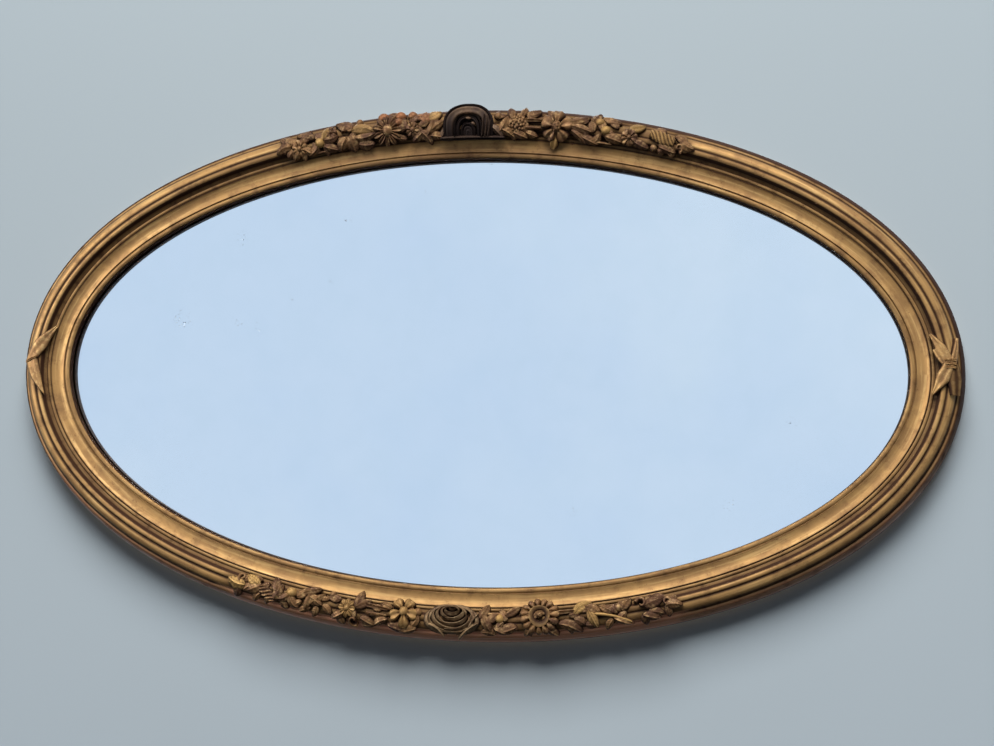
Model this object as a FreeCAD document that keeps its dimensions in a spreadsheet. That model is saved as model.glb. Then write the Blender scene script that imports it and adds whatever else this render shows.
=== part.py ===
# Oval wall mirror in a gilt, reeded wood frame with cast flower ornament.
# X runs to the viewer's right, Z up, and the mirror faces -Y.
# The wall plane is y = 0, and the origin is the middle of the backboard's outer face.
import FreeCAD, Part
import math
import os
import re

import Sketcher
from FreeCAD import Vector

doc = FreeCAD.newDocument("oval_mirror")

# Driving sizes in millimetres, angles in degrees.
sheet = doc.addObject("Spreadsheet::Sheet", "sizes")
SIZES = {
    # the whole frame
    "overall_width": 900,
    "overall_height": 507,
    # members of the moulding, from the sight edge outwards
    "lip_width": 4.8,
    "lip_inner_height": 19.6,
    "lip_rise": 1.3,
    "groove_height": 20.2,
    "groove_width": 0.8,
    "cove_inner_height": 21.4,
    "cove_width": 11.8,
    "cove_hollow": 1.5,
    "cove_outer_height": 23.6,
    "quirk_width": 0.8,
    "quirk_height": 22.4,
    "fillet_width": 3.4,
    "fillet_rise": 1.0,
    "cavetto_width": 3.8,
    "cavetto_hollow": 0.5,
    "cavetto_top_height": 26.4,
    "inner_reed_width": 6.4,
    "inner_reed_rise": 2.0,
    "inner_valley_height": 27.2,
    "broad_reed_width": 9.4,
    "broad_reed_rise": 3.3,
    "outer_valley_height": 19.8,
    "outer_reed_width": 5.0,
    "outer_reed_rise": 2.1,
    "side_height": 15.2,
    "side_rake": 4.8,
    "side_rise": 1.0,
    # rebate behind the lip
    "rebate_width": 8,
    "rebate_depth": 12.5,
    # mirror plate and what holds it
    "glass_thickness": 4,
    "glass_edge_gap": 1.5,
    "glass_arris": 0.6,
    "coat_thickness": 0.3,
    "coat_inset": 1.0,
    "block_count": 14,
    "block_length": 30,
    "block_foot": 5.5,
    "block_toe": 2.0,
    "block_wall_gap": 0.2,
    "block_back_gap": 0.2,
    # backboard
    "backboard_thickness": 5,
    "backboard_lap": 12,
    "backboard_bevel_width": 3,
    "backboard_bevel_depth": 2,
    "pin_count": 12,
    "pin_length": 14,
    "pin_diameter": 2.0,
    "pin_head_diameter": 4.2,
    "pin_inset": 6,
    "pin_sink_angle": 90,
    # dowels in the joints of the ring
    "dowel_diameter": 6,
    "dowel_length": 30,
    "dowel_arris": 0.8,
    "dowel_inner_offset": 17,
    "dowel_inner_height": 11,
    "dowel_outer_offset": 37,
    "dowel_outer_height": 9,
    "dowel_end_gap": 0.5,
    # strap hangers and rings
    "hanger_angle": 52,
    "hanger_offset": 35.5,
    "strap_width": 10,
    "strap_length": 30,
    "strap_thickness": 1.6,
    "strap_eye_wall": 0.8,
    "strap_corner": 4,
    "ring_wire": 2.4,
    "ring_half_width": 9,
    "ring_leg": 6,
    "ring_corner": 3,
    "ring_running_gap": 0.06,
    "strap_screw_first": 11,
    "strap_screw_pitch": 11,
    "screw_diameter": 3.0,
    "screw_length": 12,
    "screw_head_diameter": 5.6,
    "screw_head_height": 1.6,
    "screw_end_gap": 2,
    # fits
    "hole_gap": 0.05,
    "seat_gap": 0.12,
    "cut_overrun": 2,
    # cast ornament
    "casting_sink": 5,
    "casting_edge": 1.6,
    "casting_margin": 18.5,
    "leaf_length": 20,
    "leaf_width": 9,
    "leaf_rise": 4.0,
    "stem_width": 3.4,
    "stem_rise": 2.2,
    "berry_radius": 5,
    "berry_rise": 5,
    "top_left_reach": 193,
    "top_right_reach": 202,
    "bottom_left_reach": 230,
    "bottom_right_reach": 196,
    "daisy_radius": 14.5,
    "daisy_rise": 6.0,
    "dog_rose_radius": 16,
    "dog_rose_rise": 6.0,
    "great_daisy_radius": 18.5,
    "great_daisy_rise": 6.0,
    "gold_flower_radius": 14,
    "gold_flower_rise": 6.0,
    "small_flower_radius": 8,
    "small_flower_rise": 4.2,
    "crest_width": 50,
    "crest_height": 31.6,
    "crest_leg": 10,
    "crest_rise": 9,
    "crest_shift": -9,
    "bottom_rose_width": 52,
    "bottom_rose_height": 30,
    "bottom_rose_rise": 6,
    "bottom_rose_shift": -13,
    "tie_reach": 34,
    "tie_width": 9,
    "tie_rise": 2.8,
    "left_tie_lift": 8,
    "right_tie_lift": 11,
}

# Sizes that follow from the driving ones.
DERIVED = {
    "cove_start": "lip_width + groove_width",
    "cove_end": "cove_start + cove_width",
    "fillet_start": "cove_end + quirk_width",
    "fillet_end": "fillet_start + fillet_width",
    "inner_reed_start": "fillet_end + cavetto_width",
    "broad_reed_start": "inner_reed_start + inner_reed_width",
    "outer_reed_start": "broad_reed_start + broad_reed_width",
    "side_start": "outer_reed_start + outer_reed_width",
    "frame_width": "side_start + side_rake",
    "sight_half_width": "overall_width / 2 - frame_width",
    "sight_half_height": "overall_height / 2 - frame_width",
    "glass_half_width": "sight_half_width + rebate_width - glass_edge_gap",
    "glass_half_height": "sight_half_height + rebate_width - glass_edge_gap",
    "glass_back_height": "rebate_depth - glass_thickness",
    "board_half_width": "sight_half_width + rebate_width + backboard_lap",
    "board_half_height": "sight_half_height + rebate_width + backboard_lap",
    "pin_offset": "rebate_width + pin_inset",
    "eye_radius": "ring_wire / 2 + ring_running_gap + strap_eye_wall",
    "eye_bore_radius": "ring_wire / 2 + ring_running_gap",
    "dowel_hole_depth": "dowel_length / 2 + dowel_end_gap",
}

row = 0
for alias, number in SIZES.items():
    row += 1
    sheet.set(f"A{row}", alias)
    sheet.set(f"B{row}", str(number))
    sheet.setAlias(f"B{row}", alias)
for alias, formula in DERIVED.items():
    row += 1
    sheet.set(f"A{row}", alias)
    sheet.set(f"B{row}", "=" + formula)
    sheet.setAlias(f"B{row}", alias)
doc.recompute()


def size(alias):
    """The value of one named size."""
    return float(sheet.get(alias))


def value(formula):
    """The value of a formula in named sizes."""
    result = sheet.evalExpression(formula)
    return float(getattr(result, "Value", result))


# Sketches whose corners are bound to the sheet.


def named(formula):
    """The formula with every alias given its sheet, as a binding outside the sheet needs."""
    def with_sheet(word):
        known = word.group() in SIZES or word.group() in DERIVED
        return "sizes." + word.group() if known else word.group()
    return re.sub("[a-z_0-9]+", with_sheet, formula)


def new_body(label):
    body = doc.addObject("PartDesign::Body", label)
    body.Label = label
    return body


def new_sketch(body, name, role, offset="0"):
    """A sketch on one of the body's own planes, moved along its normal by a formula."""
    plane = [f for f in body.Origin.OriginFeatures if f.Role == role][0]
    sketch = body.newObject("Sketcher::SketchObject", name)
    sketch.AttachmentSupport = [(plane, "")]
    sketch.MapMode = "FlatFace"
    sketch.setExpression("AttachmentOffset.Base.z", named(offset))
    return sketch


def dimensions(sketch, wanted, joins=()):
    """Adds joins and dimensions (kind, ids, formula) together, then binds each to its formula."""
    constraints = list(joins)
    formulas = []
    for kind, ids, formula in wanted:
        number = value(formula)
        if number < 0 and kind in ("DistanceX", "DistanceY"):
            # a negative distance is measured from the other end
            ids = ids[2:] + ids[:2]
            number = -number
            formula = "0 - ( " + formula + " )"
        constraints.append(Sketcher.Constraint(kind, *ids, number))
        formulas.append(formula)
    first = sketch.ConstraintCount + len(joins)
    sketch.addConstraint(constraints)
    for i, formula in enumerate(formulas):
        sketch.setExpression(f"Constraints[{first + i}]", named(formula))


def pinned(geometry, point, x, y):
    """The two dimensions that hold a point at its place."""
    return [("DistanceX", (-1, 1, geometry, point), x), ("DistanceY", (-1, 1, geometry, point), y)]


def draw_outline(sketch, corners):
    """A closed outline. Each corner is (x, y, rise): the rise bows the side that leaves it."""
    count = len(corners)
    spots = [Vector(value(x), value(y), 0) for x, y, _ in corners]
    begins = []
    wanted = []
    for i in range(count):
        start = spots[i]
        end = spots[(i + 1) % count]
        rise = corners[i][2]
        begins.append(1)
        if rise is None:
            sketch.addGeometry(Part.LineSegment(start, end))
        else:
            chord = end - start
            outward = Vector(-chord.y, chord.x, 0).normalize()
            crown = (start + end) / 2 + outward * value(rise)
            if value(rise) < 0:
                sketch.addGeometry(Part.Arc(start, crown, end))
            else:
                # an arc is drawn anticlockwise, so one that bows to the left runs backwards
                sketch.addGeometry(Part.Arc(end, crown, start))
                begins[i] = 2
            x0, y0, _ = corners[i]
            x1, y1, _ = corners[(i + 1) % count]
            chord_squared = f"( ( {x1} ) - ( {x0} ) ) ^ 2 + ( ( {y1} ) - ( {y0} ) ) ^ 2"
            depth = f"abs({rise})"
            wanted.append(("Radius", (i,), f"( ( {chord_squared} ) / 4 + {depth} ^ 2 ) / ( 2 * {depth} )"))
    joins = []
    for i in range(count):
        follower = (i + 1) % count
        joins.append(Sketcher.Constraint("Coincident", i, 3 - begins[i], follower, begins[follower]))
        wanted += pinned(i, begins[i], corners[i][0], corners[i][1])
    dimensions(sketch, wanted, joins)


def draw_circle(sketch, x, y, diameter):
    circle = Part.Circle(Vector(value(x), value(y), 0), Vector(0, 0, 1), value(diameter) / 2)
    index = sketch.addGeometry(circle)
    dimensions(sketch, pinned(index, 3, x, y) + [("Diameter", (index,), diameter)])


def draw_ellipse(sketch, half_width, half_height, start=None, end=None):
    """An ellipse about the origin, or its arc between two angles, with both axes bound."""
    curve = Part.Ellipse(Vector(value(half_width), 0, 0), Vector(0, value(half_height), 0), Vector(0, 0, 0))
    if start is not None:
        curve = Part.ArcOfEllipse(curve, start, end)
    index = sketch.addGeometry(curve)
    sketch.exposeInternalGeometry(index)
    major = index + 1
    minor = index + 2
    joins = [Sketcher.Constraint("Coincident", index, 3, -1, 1), Sketcher.Constraint("Horizontal", major)]
    if start is not None:
        for point, spot in ((1, curve.StartPoint), (2, curve.EndPoint)):
            axis = -2 if abs(spot.x) < abs(spot.y) else -1
            joins.append(Sketcher.Constraint("PointOnObject", index, point, axis))
    dimensions(sketch, [("Distance", (major,), f"2 * ( {half_width} )"),
                        ("Distance", (minor,), f"2 * ( {half_height} )")], joins)


def pad(body, sketch, length, reversed_side=False, midplane=False):
    feature = body.newObject("PartDesign::Pad", body.Label + "_pad")
    feature.Profile = sketch
    feature.Length = value(length)
    feature.setExpression("Length", named(length))
    feature.Reversed = reversed_side
    feature.Midplane = midplane
    return feature


def pocket(body, sketch, depth, reversed_side=False, midplane=False):
    """A cut that has to take something away, whichever way its sketch faces."""
    doc.recompute()
    before = body.Shape.Volume
    feature = body.newObject("PartDesign::Pocket", body.Label + "_pocket")
    feature.Profile = sketch
    feature.Length = value(depth)
    feature.setExpression("Length", named(depth))
    feature.Reversed = reversed_side
    feature.Midplane = midplane
    doc.recompute()
    if not body.Shape.Volume < before:
        raise ValueError(f"{feature.Name} cuts nothing")
    return feature


# Places on the oval. An angle of 0 is at 3 o'clock and 90 at 12 o'clock.


def rim_formula(angle, offset):
    """Formulas for X and Z of a place outside the sight edge by an offset square to it."""
    across = f"sight_half_height * cos({angle})"
    up = f"sight_half_width * sin({angle})"
    reach = f"sqrt( ( {across} ) ^ 2 + ( {up} ) ^ 2 )"
    x = f"sight_half_width * cos({angle}) + ( {offset} ) * {across} / {reach}"
    z = f"sight_half_height * sin({angle}) + ( {offset} ) * {up} / {reach}"
    return x, z


def rim_frame(angle, offset, height):
    """A place on the rim, with the directions along the rim, outwards and to the front."""
    turn = math.radians(angle)
    half_width = size("sight_half_width")
    half_height = size("sight_half_height")
    outward = Vector(half_height * math.cos(turn), 0, half_width * math.sin(turn)).normalize()
    along = Vector(-half_width * math.sin(turn), 0, half_height * math.cos(turn)).normalize()
    front = Vector(0, -1, 0)
    sight = Vector(half_width * math.cos(turn), 0, half_height * math.sin(turn))
    place = sight + outward * offset + front * (size("backboard_thickness") + height)
    return place, along, outward, front


def prism(points, along, length):
    """A solid of a flat outline drawn out along a direction, with its middle at the outline."""
    face = Part.Face(Part.makePolygon(points + points[:1]))
    face.translate(along * (-length / 2))
    return face.extrude(along * length)


def add_group(label, solids):
    """One node that holds several separate solids of the same kind."""
    feature = doc.addObject("Part::Feature", label)
    feature.Label = label
    feature.Shape = Part.makeCompound(solids)
    feature.Placement = FreeCAD.Placement()
    return feature


nodes = []

# The moulding's section: (offset outside the sight edge, height above the frame's back, rise).
SECTION = (
    ("0", "rebate_depth", None),
    ("0", "lip_inner_height", "lip_rise"),
    ("lip_width", "groove_height", None),
    ("cove_start", "cove_inner_height", "0 - cove_hollow"),
    ("cove_end", "cove_outer_height", None),
    ("fillet_start", "quirk_height", "fillet_rise"),
    ("fillet_end", "quirk_height", "0 - cavetto_hollow"),
    ("inner_reed_start", "cavetto_top_height", "inner_reed_rise"),
    ("broad_reed_start", "inner_valley_height", "broad_reed_rise"),
    ("outer_reed_start", "outer_valley_height", "outer_reed_rise"),
    ("side_start", "side_height", "side_rise"),
    ("frame_width", "0", None),
    ("rebate_width", "0", None),
    ("rebate_width", "rebate_depth", None),
)


def pins_between(first, last):
    """Angles of the backboard pins that fall between two angles of the rim."""
    count = int(size("pin_count"))
    step = 360 / count
    angles = [(i + 0.5) * step for i in range(count)]
    return [a for a in angles if first < a < last]


def frame_quarter(label, right, top):
    """One quarter of the wood ring: the moulding run round a quarter of the sight oval."""
    body = new_body(label)
    side = 1 if right else -1
    rise = 1 if top else -1
    path = new_sketch(body, label + "_path", "XZ_Plane")
    quarter = {(1, 1): 0, (-1, 1): 1, (-1, -1): 2, (1, -1): 3}[(side, rise)]
    draw_ellipse(path, "sight_half_width", "sight_half_height",
                 quarter * math.pi / 2, (quarter + 1) * math.pi / 2)
    section = new_sketch(body, label + "_section", "YZ_Plane")
    sign = "" if top else "0 - "
    corners = []
    for offset, height, bow in SECTION:
        corners.append((f"0 - ( backboard_thickness + {height} )",
                        f"{sign}( sight_half_height + {offset} )",
                        None if bow is None else f"{sign}( {bow} )"))
    draw_outline(section, corners)
    sweep = body.newObject("PartDesign::AdditivePipe", label + "_moulding")
    sweep.Profile = section
    sweep.Spine = (path, [])
    sweep.Mode = "Frenet"
    doc.recompute()
    # dowel holes in both ends
    ends = (("YZ_Plane", top, right), ("XY_Plane", right, top))
    for role, positive, ahead in ends:
        holes = new_sketch(body, label + "_dowels_" + role[:2], role)
        for place in ("dowel_inner", "dowel_outer"):
            depth = f"0 - ( backboard_thickness + {place}_height )"
            reach = "sight_half_height" if role == "YZ_Plane" else "sight_half_width"
            away = f"{reach} + {place}_offset"
            if not positive:
                away = f"0 - ( {away} )"
            bore = "dowel_diameter + 2 * hole_gap"
            if role == "YZ_Plane":
                draw_circle(holes, depth, away, bore)
            else:
                draw_circle(holes, away, depth, bore)
        pocket(body, holes, "dowel_hole_depth", reversed_side=ahead)
    # pilot holes for the backboard pins, and for the strap screws in the top quarters
    bores = []
    first = quarter * 90
    for angle in pins_between(first, first + 90):
        bores.append((angle, "pin_offset", "0", "pin_diameter + 2 * hole_gap"))
    if top:
        angle = "hanger_angle" if right else "180 - hanger_angle"
        for screw in ("strap_screw_first", "( strap_screw_first + strap_screw_pitch )"):
            bores.append((angle, "hanger_offset", screw, "screw_diameter + 2 * hole_gap"))
    pilots = new_sketch(body, label + "_pilots", "XZ_Plane", "backboard_thickness")
    for angle, offset, back, bore in bores:
        x, z = rim_formula(angle, offset)
        if back != "0":
            turned = 1 if right else -1
            x, z = slide_along(x, z, angle, back, turned)
        draw_circle(pilots, x, z, bore)
    pocket(body, pilots, "screw_length", reversed_side=True)
    nodes.append(body)
    return body


def slide_along(x, z, angle, distance, turned):
    """The formulas moved down the rim, away from 12 o'clock, by a distance."""
    across = f"( sight_half_height * cos({angle}) )"
    up = f"( sight_half_width * sin({angle}) )"
    reach = f"sqrt( {across} ^ 2 + {up} ^ 2 )"
    sign = "+" if turned > 0 else "-"
    counter = "-" if turned > 0 else "+"
    return (f"{x} {sign} {distance} * {up} / {reach}",
            f"{z} {counter} {distance} * {across} / {reach}")


frame_quarter("frame_quarter_top_right", True, True)
frame_quarter("frame_quarter_top_left", False, True)
frame_quarter("frame_quarter_bottom_left", False, False)
frame_quarter("frame_quarter_bottom_right", True, False)


# Beech dowels, two in each joint of the ring, with a small arris at both ends.
def splice_dowels():
    solids = []
    length = size("dowel_length")
    radius = size("dowel_diameter") / 2
    arris = size("dowel_arris")
    for angle in (0, 90, 180, 270):
        for place in ("dowel_inner", "dowel_outer"):
            spot, along, _, _ = rim_frame(angle, size(place + "_offset"), size(place + "_height"))
            dowel = Part.makeCylinder(radius, length, spot - along * (length / 2), along)
            solids.append(dowel.makeChamfer(arris, [dowel.Edges[0], dowel.Edges[2]]))
    nodes.append(add_group("splice_dowels", solids))


splice_dowels()


# The mirror plate, with its sharp front edge taken off, and the silver and paint coat behind it.
def mirror_plate():
    glass = new_body("mirror_glass")
    outline = new_sketch(glass, "glass_outline", "XZ_Plane", "backboard_thickness + glass_back_height")
    draw_ellipse(outline, "glass_half_width", "glass_half_height")
    plate = pad(glass, outline, "glass_thickness")
    doc.recompute()
    front = max(range(len(plate.Shape.Faces)), key=lambda i: -plate.Shape.Faces[i].CenterOfMass.y)
    arris = glass.newObject("PartDesign::Chamfer", "glass_front_arris")
    arris.Base = (plate, [f"Face{front + 1}"])
    arris.Size = size("glass_arris")
    arris.setExpression("Size", named("glass_arris"))
    nodes.append(glass)
    coat = new_body("mirror_silvering")
    outline = new_sketch(coat, "coat_outline", "XZ_Plane",
                         "backboard_thickness + glass_back_height - coat_thickness")
    draw_ellipse(outline, "glass_half_width - coat_inset", "glass_half_height - coat_inset")
    pad(coat, outline, "coat_thickness")
    nodes.append(coat)


mirror_plate()


# Softwood glue blocks round the rebate, which press the plate against the lip.
def glass_glue_blocks():
    solids = []
    count = int(size("block_count"))
    length = size("block_length")
    top = size("glass_back_height") - size("coat_thickness")
    low = size("block_back_gap")
    for i in range(count):
        angle = (i + 0.5) * 360 / count
        half_width = size("sight_half_width")
        half_height = size("sight_half_height")
        turn = math.radians(angle)
        speed = math.hypot(half_width * math.sin(turn), half_height * math.cos(turn))
        bend = speed ** 3 / (half_width * half_height)
        wall = size("rebate_width") - size("block_wall_gap") - length ** 2 / (8 * bend)
        foot = wall - size("block_foot")
        points = []
        for offset, height in ((wall, low), (wall, top), (foot, top), (foot, top - size("block_toe")),
                               (wall - size("block_toe"), low)):
            points.append(rim_frame(angle, offset, height)[0])
        along = rim_frame(angle, wall, low)[1]
        solids.append(prism(points, along, length))
    nodes.append(add_group("glass_glue_blocks", solids))


glass_glue_blocks()


PIN_SINK_DEPTH = "( pin_head_diameter - pin_diameter ) / 2 / tan(pin_sink_angle / 2)"


# The thin backboard, bevelled round its outer edge and bored for its countersunk pins.
def backboard():
    body = new_body("backboard")
    outline = new_sketch(body, "board_outline", "XZ_Plane")
    draw_ellipse(outline, "board_half_width", "board_half_height")
    board = pad(body, outline, "backboard_thickness")
    doc.recompute()
    rear = max(range(len(board.Shape.Faces)), key=lambda i: board.Shape.Faces[i].CenterOfMass.y)
    bevel = body.newObject("PartDesign::Chamfer", "board_bevel")
    bevel.Base = (board, [f"Face{rear + 1}"])
    bevel.ChamferType = "Two distances"
    bevel.Size = size("backboard_bevel_depth")
    bevel.Size2 = size("backboard_bevel_width")
    bevel.setExpression("Size", named("backboard_bevel_depth"))
    bevel.setExpression("Size2", named("backboard_bevel_width"))
    shanks = new_sketch(body, "board_pin_holes", "XZ_Plane", "0 - cut_overrun")
    for angle in pins_between(0, 360):
        x, z = rim_formula(angle, "pin_offset")
        draw_circle(shanks, x, z, "pin_diameter + 2 * hole_gap")
    pocket(body, shanks, "backboard_thickness + 2 * cut_overrun", reversed_side=True)
    sinks = new_sketch(body, "board_countersinks", "XZ_Plane", "0")
    for angle in pins_between(0, 360):
        x, z = rim_formula(angle, "pin_offset")
        draw_circle(sinks, x, z, "pin_head_diameter + 2 * hole_gap")
    cone = pocket(body, sinks, PIN_SINK_DEPTH, reversed_side=True)
    cone.TaperAngle = -size("pin_sink_angle") / 2
    nodes.append(body)


backboard()


def turned_pin(spot, axis, corners):
    """A round fastener: its half outline (radius, depth) turned about an axis into the wood."""
    square = Vector(0, 1, 0).cross(axis)
    if square.Length == 0:
        square = Vector(1, 0, 0)
    points = [spot + square * radius + axis * depth for radius, depth in corners]
    face = Part.Face(Part.makePolygon(points + points[:1]))
    return face.revolve(spot, axis, 360)


# The length of a fastener's point as a share of its shank's radius.
POINT_SHARE = 2.0


# Countersunk panel pins that hold the backboard, their heads flush with its outer face.
def backboard_pins():
    shank = size("pin_diameter") / 2
    head = size("pin_head_diameter") / 2
    length = size("pin_length")
    corners = ((0, 0), (head, 0), (shank, value(PIN_SINK_DEPTH)), (shank, length - POINT_SHARE * shank),
               (0, length))
    solids = []
    for angle in pins_between(0, 360):
        spot = rim_frame(angle, size("pin_offset"), -size("backboard_thickness"))[0]
        solids.append(turned_pin(spot, Vector(0, -1, 0), corners))
    nodes.append(add_group("backboard_pins", solids))


backboard_pins()


def hanger_place(right):
    """Where a ring's bar lies: X along the rim towards 12 o'clock, Y off the wood."""
    angle = size("hanger_angle") if right else 180 - size("hanger_angle")
    spot, along, _, front = rim_frame(angle, size("hanger_offset"), -size("eye_radius"))
    inward = along if right else along * -1
    rearward = front * -1
    return FreeCAD.Placement(spot, FreeCAD.Rotation(inward, rearward, inward.cross(rearward), "XYZ"))


# A brass strap folded round the ring's bar, lying flat on the back of the frame.
def strap_hanger(label, right):
    body = new_body(label)
    plate = new_sketch(body, label + "_plate", "XY_Plane")
    draw_outline(plate, (("0 - strap_length", "0 - eye_radius", None), ("0", "0 - eye_radius", None),
                         ("0", "strap_thickness - eye_radius", None),
                         ("0 - strap_length", "strap_thickness - eye_radius", None)))
    slab = pad(body, plate, "strap_width", midplane=True)
    doc.recompute()
    corners = []
    for i, edge in enumerate(slab.Shape.Edges):
        middle = edge.CenterOfMass
        if abs(middle.x + size("strap_length")) < size("hole_gap") and abs(edge.Length - size(
                "strap_thickness")) < size("hole_gap"):
            corners.append(f"Edge{i + 1}")
    rounding = body.newObject("PartDesign::Fillet", label + "_round")
    rounding.Base = (slab, corners)
    rounding.Radius = size("strap_corner")
    rounding.setExpression("Radius", named("strap_corner"))
    eye = new_sketch(body, label + "_eye", "XY_Plane")
    draw_circle(eye, "0", "0", "2 * eye_radius")
    pad(body, eye, "strap_width", midplane=True)
    bore = new_sketch(body, label + "_bore", "XY_Plane")
    draw_circle(bore, "0", "0", "2 * eye_bore_radius")
    pocket(body, bore, "strap_width + cut_overrun", midplane=True)
    holes = new_sketch(body, label + "_screw_holes", "XZ_Plane")
    for back in ("strap_screw_first", "strap_screw_first + strap_screw_pitch"):
        draw_circle(holes, f"0 - ( {back} )", "0", "screw_diameter + 2 * hole_gap")
    pocket(body, holes, "2 * eye_radius + cut_overrun", midplane=True)
    body.Placement = hanger_place(right)
    nodes.append(body)


# A wire ring, bent to a D: its straight bar turns in the strap's eye.
def hanging_ring(label, right):
    body = new_body(label)
    path = new_sketch(body, label + "_path", "XZ_Plane")
    half = value("ring_half_width")
    corner = value("ring_corner")
    leg = value("ring_leg")
    spots = (Vector(0, 0, 0), Vector(0, half - corner, 0), Vector(corner, half, 0), Vector(leg, half, 0),
             Vector(leg, -half, 0), Vector(corner, -half, 0), Vector(0, corner - half, 0))
    bow = corner * (1 - math.sqrt(0.5))
    bends = {1: Vector(bow, half - bow, 0), 3: Vector(leg + half, 0, 0), 5: Vector(bow, bow - half, 0)}
    begins = []
    for i, start in enumerate(spots):
        end = spots[(i + 1) % len(spots)]
        if i in bends:
            # arcs are drawn anticlockwise, against the order of the corners
            path.addGeometry(Part.Arc(end, bends[i], start))
            begins.append(2)
        else:
            path.addGeometry(Part.LineSegment(start, end))
            begins.append(1)
    joins = []
    for i in range(len(spots)):
        follower = (i + 1) % len(spots)
        joins.append(Sketcher.Constraint("Coincident", i, 3 - begins[i], follower, begins[follower]))
    places = (("0", "0"), ("0", "ring_half_width - ring_corner"), ("ring_corner", "ring_half_width"),
              ("ring_leg", "ring_half_width"), ("ring_leg", "0 - ring_half_width"),
              ("ring_corner", "0 - ring_half_width"), ("0", "ring_corner - ring_half_width"))
    wanted = [("Radius", (1,), "ring_corner"), ("DistanceX", (-1, 1, 3, 3), "ring_leg"),
              ("Radius", (5,), "ring_corner")]
    for i, (x, y) in enumerate(places):
        wanted += pinned(i, begins[i], x, y)
    dimensions(path, wanted, joins)
    wire = new_sketch(body, label + "_wire", "XY_Plane")
    draw_circle(wire, "0", "0", "ring_wire")
    sweep = body.newObject("PartDesign::AdditivePipe", label + "_bend")
    sweep.Profile = wire
    sweep.Spine = (path, [])
    doc.recompute()
    body.Placement = hanger_place(right)
    nodes.append(body)


# How much of a screw head's radius its flat crown has, and of its height its rim stands.
SCREW_CROWN_SHARE = 0.5
SCREW_RIM_SHARE = 0.333


# Two round-headed screws through each strap.
def hanger_screws(label, right):
    frame = hanger_place(right)
    shank = size("screw_diameter") / 2
    head = size("screw_head_diameter") / 2
    dome = size("screw_head_height")
    bury = size("strap_thickness") - size("eye_radius")
    tip = size("strap_thickness") + size("screw_length") - size("screw_end_gap")
    corners = ((0, -dome), (head * SCREW_CROWN_SHARE, -dome), (head, -dome * SCREW_RIM_SHARE), (head, 0),
               (shank, 0), (shank, tip - POINT_SHARE * shank), (0, tip))
    solids = []
    for back in (size("strap_screw_first"), size("strap_screw_first") + size("strap_screw_pitch")):
        spot = frame.multVec(Vector(-back, bury, 0))
        solids.append(turned_pin(spot, Vector(0, -1, 0), corners))
    nodes.append(add_group(label, solids))


for side_name, on_right in (("left", False), ("right", True)):
    strap_hanger("strap_hanger_" + side_name, on_right)
    hanging_ring("hanging_ring_" + side_name, on_right)
    hanger_screws("hanger_screws_" + side_name, on_right)


# The bed that every casting is cut to: an even crown just clear of the reeds.


def arc_circle(start, rise):
    """Centre and radius of a reed's section, as (offset, height, radius)."""
    i = [corner[0] for corner in SECTION].index(start)
    a = Vector(value(SECTION[i][0]), value(SECTION[i][1]), 0)
    b = Vector(value(SECTION[i + 1][0]), value(SECTION[i + 1][1]), 0)
    bow = size(rise)
    chord = b - a
    radius = (chord.Length ** 2 / 4 + bow ** 2) / (2 * bow)
    upward = Vector(-chord.y, chord.x, 0).normalize()
    centre = (a + b) / 2 + upward * (bow - radius)
    return centre.x, centre.y, radius


REEDS = (("fillet_start", "fillet_rise"), ("inner_reed_start", "inner_reed_rise"),
         ("broad_reed_start", "broad_reed_rise"), ("outer_reed_start", "outer_reed_rise"),
         ("side_start", "side_rise"))


def arc_reach(start, rise, heading):
    """How far one rounded member reaches in a direction of the section."""
    i = [corner[0] for corner in SECTION].index(start)
    first, last = [Vector(value(x), value(y), 0) for x, y, _ in SECTION[i:i + 2]]
    x, y, radius = arc_circle(start, rise)
    chord = last - first
    middle = Vector(-chord.y, chord.x, 0)
    if math.sin(heading.getAngle(middle)) <= chord.Length / 2 / radius and heading.dot(middle) > 0:
        return Vector(x, y, 0).dot(heading) + radius
    return max(first.dot(heading), last.dot(heading))


def bed_reach(angle):
    """How far the members reach in a direction of the section, with the seat's clearance."""
    heading = Vector(math.cos(math.radians(angle)), math.sin(math.radians(angle)), 0)
    return max(arc_reach(start, rise, heading) for start, rise in REEDS) + size("seat_gap")


def meet(first, second):
    """Where two lines square to these directions, both touching the reeds, cross."""
    a = math.radians(first)
    b = math.radians(second)
    p = bed_reach(first)
    q = bed_reach(second)
    across = math.sin(b - a)
    return ((p * math.sin(b) - q * math.sin(a)) / across, (q * math.cos(a) - p * math.cos(b)) / across)


# Directions of the bed's flats in the section, from the outer side round to the fillet.
BED_ANGLES = (20, 43, 60, 78, 100, 123)


def bed_shelf():
    """Where the bed's last flat meets its shelf over the cove."""
    last = math.radians(BED_ANGLES[-1])
    x, y, radius = arc_circle("fillet_start", "fillet_rise")
    height = max(y + radius, size("cove_outer_height")) + size("seat_gap")
    return ((bed_reach(BED_ANGLES[-1]) - height * math.sin(last)) / math.cos(last), height)


def bed_outline():
    """The bed in section: flats that touch the reeds, with a shelf over the cove."""
    corners = [meet(BED_ANGLES[i], BED_ANGLES[i + 1]) for i in range(len(BED_ANGLES) - 1)]
    shelf = bed_shelf()
    foot = bed_reach(BED_ANGLES[0]) / math.cos(math.radians(BED_ANGLES[0]))
    return [(size("lip_width"), 0), (foot, 0)] + corners + [shelf, (size("lip_width"), shelf[1])]


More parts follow.
